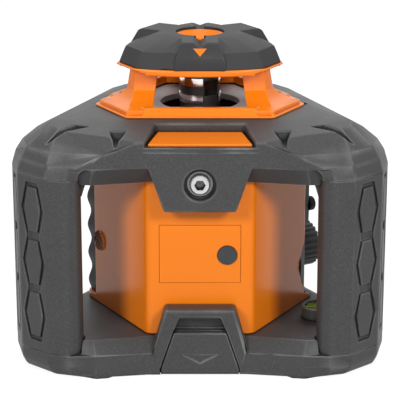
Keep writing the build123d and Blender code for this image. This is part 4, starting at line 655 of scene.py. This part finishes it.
# head with a chamfered rim and a hexagon socket, on a washer
def screwShape(tree, size):
    head = cylinder(tree, screwFaces["round"], size["headRadius"], size["headHeight"])
    rim = addNode(tree, "GeometryNodeExtrudeMesh", Mesh=head.outputs["Mesh"], Selection=head.outputs["Top"],
                  Offset_Scale=size["chamfer"], Individual=False)
    rimRadius = mathNode(tree, "SUBTRACT", size["headRadius"], size["chamfer"])
    shaped = addNode(tree, "GeometryNodeScaleElements", Geometry=rim.outputs["Mesh"],
                     Selection=rim.outputs["Top"],
                     Scale=mathNode(tree, "DIVIDE", rimRadius, size["headRadius"]))
    raised = lifted(tree, shaped.outputs["Geometry"], mathNode(tree, "MULTIPLY", size["headHeight"], 0.5))
    socket = cylinder(tree, screwFaces["hexagon"], size["socketRadius"],
                      mathNode(tree, "MULTIPLY", size["socketDepth"], 2.0))
    top = mathNode(tree, "ADD", size["headHeight"], size["chamfer"])
    cut = addNode(tree, "GeometryNodeMeshBoolean", {"operation": "DIFFERENCE"})
    tree.links.new(raised, cut.inputs["Mesh 1"])
    tree.links.new(lifted(tree, socket.outputs["Mesh"], top), cut.inputs["Mesh 2"])
    washer = cylinder(tree, screwFaces["round"], size["washerRadius"], size["washerHeight"])
    washerLift = mathNode(tree, "MULTIPLY", size["washerHeight"], 0.5)
    screw = tree.nodes.new("GeometryNodeJoinGeometry")
    tree.links.new(cut.outputs["Mesh"], screw.inputs["Geometry"])
    tree.links.new(lifted(tree, washer.outputs["Mesh"], washerLift), screw.inputs["Geometry"])
    return screw.outputs["Geometry"]


def buildScrewTree(material):
    tree = bpy.data.node_groups.new("shieldScrews", "GeometryNodeTree")
    for name in screwSettings:
        tree.interface.new_socket(name=name, in_out="INPUT", socket_type="NodeSocketFloat")
    tree.interface.new_socket(name="Geometry", in_out="OUTPUT", socket_type="NodeSocketGeometry")
    size = tree.nodes.new("NodeGroupInput").outputs
    screw = screwShape(tree, size)
    turn = addNode(tree, "ShaderNodeMath", {"operation": "MULTIPLY_ADD"})
    tree.links.new(addNode(tree, "GeometryNodeInputIndex").outputs[0], turn.inputs[0])
    turn.inputs[1].default_value = math.tau / sideCount
    tree.links.new(size["firstTurn"], turn.inputs[2])
    across = addNode(tree, "ShaderNodeMath", {"operation": "COSINE"})
    up = addNode(tree, "ShaderNodeMath", {"operation": "SINE"})
    tree.links.new(turn.outputs[0], across.inputs[0])
    tree.links.new(turn.outputs[0], up.inputs[0])
    outward = addNode(tree, "ShaderNodeCombineXYZ", X=across.outputs[0], Y=up.outputs[0]).outputs[0]
    reach = addNode(tree, "ShaderNodeVectorMath", {"operation": "SCALE"}, Vector=outward, Scale=size["seatOut"])
    spot = addNode(tree, "ShaderNodeVectorMath", {"operation": "ADD"})
    tree.links.new(reach.outputs["Vector"], spot.inputs[0])
    tree.links.new(liftNode(tree, size["seatHeight"]), spot.inputs[1])
    points = addNode(tree, "GeometryNodePoints", Count=sideCount, Position=spot.outputs["Vector"])
    aim = addNode(tree, "FunctionNodeAlignRotationToVector", {"axis": "Z"}, Vector=outward)
    placed = addNode(tree, "GeometryNodeInstanceOnPoints", Points=points.outputs[0], Instance=screw,
                     Rotation=aim.outputs["Rotation"])
    real = addNode(tree, "GeometryNodeRealizeInstances", Geometry=placed.outputs["Instances"])
    coat = addNode(tree, "GeometryNodeSetMaterial", Geometry=real.outputs["Geometry"], Material=material)
    tree.links.new(coat.outputs["Geometry"], tree.nodes.new("NodeGroupOutput").inputs["Geometry"])
    return tree


def meshFromTree(name, tree, values):
    holder = placeObject(name + "Maker", bpy.data.meshes.new(name + "Maker"))
    modifier = holder.modifiers.new("maker", "NODES")
    modifier.node_group = tree
    for item in tree.interface.items_tree:
        if item.in_out == "INPUT":
            modifier[item.identifier] = values[item.name]
    mesh = evaluatedMesh(holder)
    mesh.name = name
    bpy.data.objects.remove(holder)
    return mesh


screwMesh = meshFromTree("shieldScrews", buildScrewTree(slotMaterials["steel"]), screwSettings)
screwMesh.polygons.foreach_set("use_smooth", [True] * len(screwMesh.polygons))
screwMesh.set_sharp_from_angle(angle=screwFaces["sharpAngle"])
shieldScrews = placeObject("shieldScrews", screwMesh)
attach(shieldScrews, "chassis")
print("screws", len(screwMesh.polygons))


def addPiece(name, work, slotName, body, smooth=False):
    for face in work.faces:
        face.smooth = smooth
    bmesh.ops.recalc_face_normals(work, faces=work.faces)
    mesh = bpy.data.meshes.new(name)
    work.to_mesh(mesh)
    work.free()
    mesh.materials.append(slotMaterials[slotName])
    piece = placeObject(name, mesh)
    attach(piece, body)
    return piece


# webs that round the corners between the shell's arches and its post feet
webSettings = {"post": (-0.0656, -0.0686, 0.1118), "heel": (-0.0656, -0.069, 0.1032),
               "arch": (-0.0535, -0.07, 0.1118), "foot": (-0.0618, -0.0669, 0.1032),
               "bend": (-0.061, -0.07, 0.1114), "lateness": 4, "depth": 0.0045, "rows": 12, "columns": 8,
               "sharp": math.radians(40), "rounding": 0.0006, "roundingSteps": 2, "roundingAngle": math.radians(50)}


# a patch that leaves the arch's face upright and bends back to the post's inner edge
def webPatch():
    post, heel, arch, foot, bend = (Vector(webSettings[k]) for k in ("post", "heel", "arch", "foot", "bend"))
    rows, columns = webSettings["rows"], webSettings["columns"]
    grid = []
    for i in range(rows + 1):
        down = i / rows
        left = post.lerp(heel, down)
        right = arch * (1 - down) ** 2 + bend * 2 * down * (1 - down) + foot * down ** 2
        right.y = arch.y + (foot.y - arch.y) * down ** webSettings["lateness"]
        grid.append([left.lerp(right, k / columns) for k in range(columns + 1)])
    return grid


# the patch, a copy of it behind, and walls all round
def addWeb(work, place):
    back = Vector((0.0, webSettings["depth"], 0.0))
    grid = webPatch()
    rows, columns = webSettings["rows"], webSettings["columns"]
    near = [[work.verts.new(place @ p) for p in row] for row in grid]
    far = [[work.verts.new(place @ (p + back)) for p in row] for row in grid]
    for side in (near, far):
        for i in range(rows):
            for k in range(columns):
                work.faces.new([side[i][k], side[i][k + 1], side[i + 1][k + 1], side[i + 1][k]])
    for k in range(columns):
        for i in (0, rows):
            work.faces.new([near[i][k], near[i][k + 1], far[i][k + 1], far[i][k]])
    for i in range(rows):
        for k in (0, columns):
            work.faces.new([near[i][k], near[i + 1][k], far[i + 1][k], far[i][k]])


work = bmesh.new()
for turn in range(sideCount):
    for hand in (-1.0, 1.0):
        spin = Matrix.Rotation(turn * math.tau / sideCount, 3, "Z")
        addWeb(work, spin @ Matrix.Diagonal((-hand, 1.0, 1.0)))
archWebs = addPiece("archWebs", work, "charcoal_plastic", "chassis", smooth=True)
archWebs.data.set_sharp_from_angle(angle=webSettings["sharp"])
bevel = addBevel(archWebs, webSettings["rounding"], webSettings["roundingSteps"])
bevel.angle_limit = webSettings["roundingAngle"]
bevel.harden_normals = True

# keypad mat with its ridges worn to smooth waves
waveSettings = {"node": "keypad_mat", "crests": (0.0286, 0.0443, 0.06, 0.0757), "ridgeHalf": 0.0055,
                "waveHalf": 0.00785, "crestDepth": 0.0005, "floorDepth": 0.0022, "lean": math.radians(17),
                "cut": 0.00157, "sharp": math.radians(35), "level": 0.5, "outward": 0.75, "sameWay": 0.97}


# how far the smooth wave stands out from the straight ridge at a height
def waveGain(z):
    away = min(abs(z - crest) for crest in waveSettings["crests"])
    top, floor = waveSettings["crestDepth"], waveSettings["floorDepth"]
    straight = floor
    if away < waveSettings["ridgeHalf"]:
        straight = top + away * math.tan(waveSettings["lean"])
    swing = min(away / waveSettings["waveHalf"], 1.0)
    return straight - (top + (floor - top) * (1 - math.cos(math.pi * swing)) / 2)


# the ways out of the mat's upright outer faces at a vertex, each once
def outwardWays(vert):
    ways = []
    for face in vert.link_faces:
        way = Vector((face.normal.x, face.normal.y, 0.0))
        centre = face.calc_center_median()
        facing = way.normalized().dot(Vector((centre.x, centre.y, 0.0)).normalized())
        if abs(face.normal.z) > waveSettings["level"] or facing < waveSettings["outward"]:
            continue
        way.normalize()
        if all(way.dot(other) < waveSettings["sameWay"] for other in ways):
            ways.append(way)
    return ways


work = weldedCopy(waveSettings["node"])
bmesh.ops.dissolve_limit(work, angle_limit=roundingSettings["flatAngle"], verts=work.verts, edges=work.edges)
matLow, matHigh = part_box(waveSettings["node"])
level = matLow.z + waveSettings["cut"]
while level < matHigh.z - waveSettings["cut"] / 2:
    bmesh.ops.bisect_plane(work, geom=work.verts[:] + work.edges[:] + work.faces[:], plane_co=upward * level,
                           plane_no=upward)
    level += waveSettings["cut"]
work.normal_update()
shifts = []
for vert in work.verts:
    ways = outwardWays(vert)
    if len(ways) == 1:
        shifts.append((vert, ways[0]))
    elif len(ways) == 2:
        shifts.append((vert, (ways[0] + ways[1]) / (1 + ways[0].dot(ways[1]))))
for vert, way in shifts:
    vert.co += way * waveGain(vert.co.z)
keypadWaves = addPiece("keypadWaves", work, slotOf["keypad_mat"], bodyOf["keypad_mat"], smooth=True)
keypadWaves.data.set_sharp_from_angle(angle=waveSettings["sharp"])
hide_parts("keypad_mat")
print("webs and mat shaped", len(keypadWaves.data.polygons))

# plain sighting triangle set into the front block of the cap
sightSettings = {"half": 0.0035, "topZ": 0.1644, "tipZ": 0.1606, "thick": 0.0005, "proud": 0.00012,
                 "foot": (0.0352, 0.160), "head": (0.0323, 0.166), "rounding": 0.0001, "roundingSteps": 2}
(footOut, footZ), (headOut, headZ) = sightSettings["foot"], sightSettings["head"]
facing = Vector((0.0, -(headZ - footZ), footOut - headOut)).normalized()


def onSight(x, z):
    out = footOut + (headOut - footOut) * (z - footZ) / (headZ - footZ)
    return Vector((x, -out, z))


sightCorners = [onSight(-sightSettings["half"], sightSettings["topZ"]), onSight(0.0, sightSettings["tipZ"]),
                onSight(sightSettings["half"], sightSettings["topZ"])]
work = bmesh.new()
front = [work.verts.new(c + facing * sightSettings["proud"]) for c in sightCorners]
back = [work.verts.new(c + facing * (sightSettings["proud"] - sightSettings["thick"])) for c in sightCorners]
work.faces.new(front)
work.faces.new(back[::-1])
for i in range(3):
    work.faces.new([front[i], back[i], back[(i + 1) % 3], front[(i + 1) % 3]])
sightMark = addPiece("sightMark", work, "orange_plastic", "chassis")
addBevel(sightMark, sightSettings["rounding"], sightSettings["roundingSteps"])

# air bubble under the vial's lens, and its printed ring
bubbleSettings = {"radius": 0.0021, "flat": 0.35, "around": 24, "down": 12, "ringRadius": 0.0027,
                  "ringWidth": 0.0003, "ringHeight": 0.00012, "ringSteps": 40}
lensLow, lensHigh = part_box("vial_lens")
vialMiddle = (lensLow + lensHigh) / 2
work = bmesh.new()
squeeze = Matrix.Diagonal((1.0, 1.0, bubbleSettings["flat"], 1.0))
bubbleZ = lensLow.z - bubbleSettings["radius"] * bubbleSettings["flat"]
bubblePlace = Matrix.Translation((vialMiddle.x, vialMiddle.y, bubbleZ))
bmesh.ops.create_uvsphere(work, u_segments=bubbleSettings["around"], v_segments=bubbleSettings["down"],
                          radius=bubbleSettings["radius"], matrix=bubblePlace @ squeeze)
addPiece("vialBubble", work, "clear_glass", "chassis", smooth=True)


def ringPoint(step, outer, upper):
    turn = math.tau * step / bubbleSettings["ringSteps"]
    reach = bubbleSettings["ringRadius"] + outer * bubbleSettings["ringWidth"]
    return (vialMiddle.x + reach * math.cos(turn), vialMiddle.y + reach * math.sin(turn),
            lensHigh.z + (upper - 0.5) * bubbleSettings["ringHeight"])


work = bmesh.new()
ringSteps = bubbleSettings["ringSteps"]
rings = [[work.verts.new(ringPoint(i, outer, upper)) for i in range(ringSteps)]
         for outer, upper in ((0.0, 0.0), (1.0, 0.0), (1.0, 1.0), (0.0, 1.0))]
for i in range(ringSteps):
    j = (i + 1) % ringSteps
    for k, ring in enumerate(rings):
        following = rings[(k + 1) % len(rings)]
        work.faces.new([ring[i], ring[j], following[j], following[i]])
addPiece("vialRing", work, "black_plastic", "chassis")
print("small pieces added")
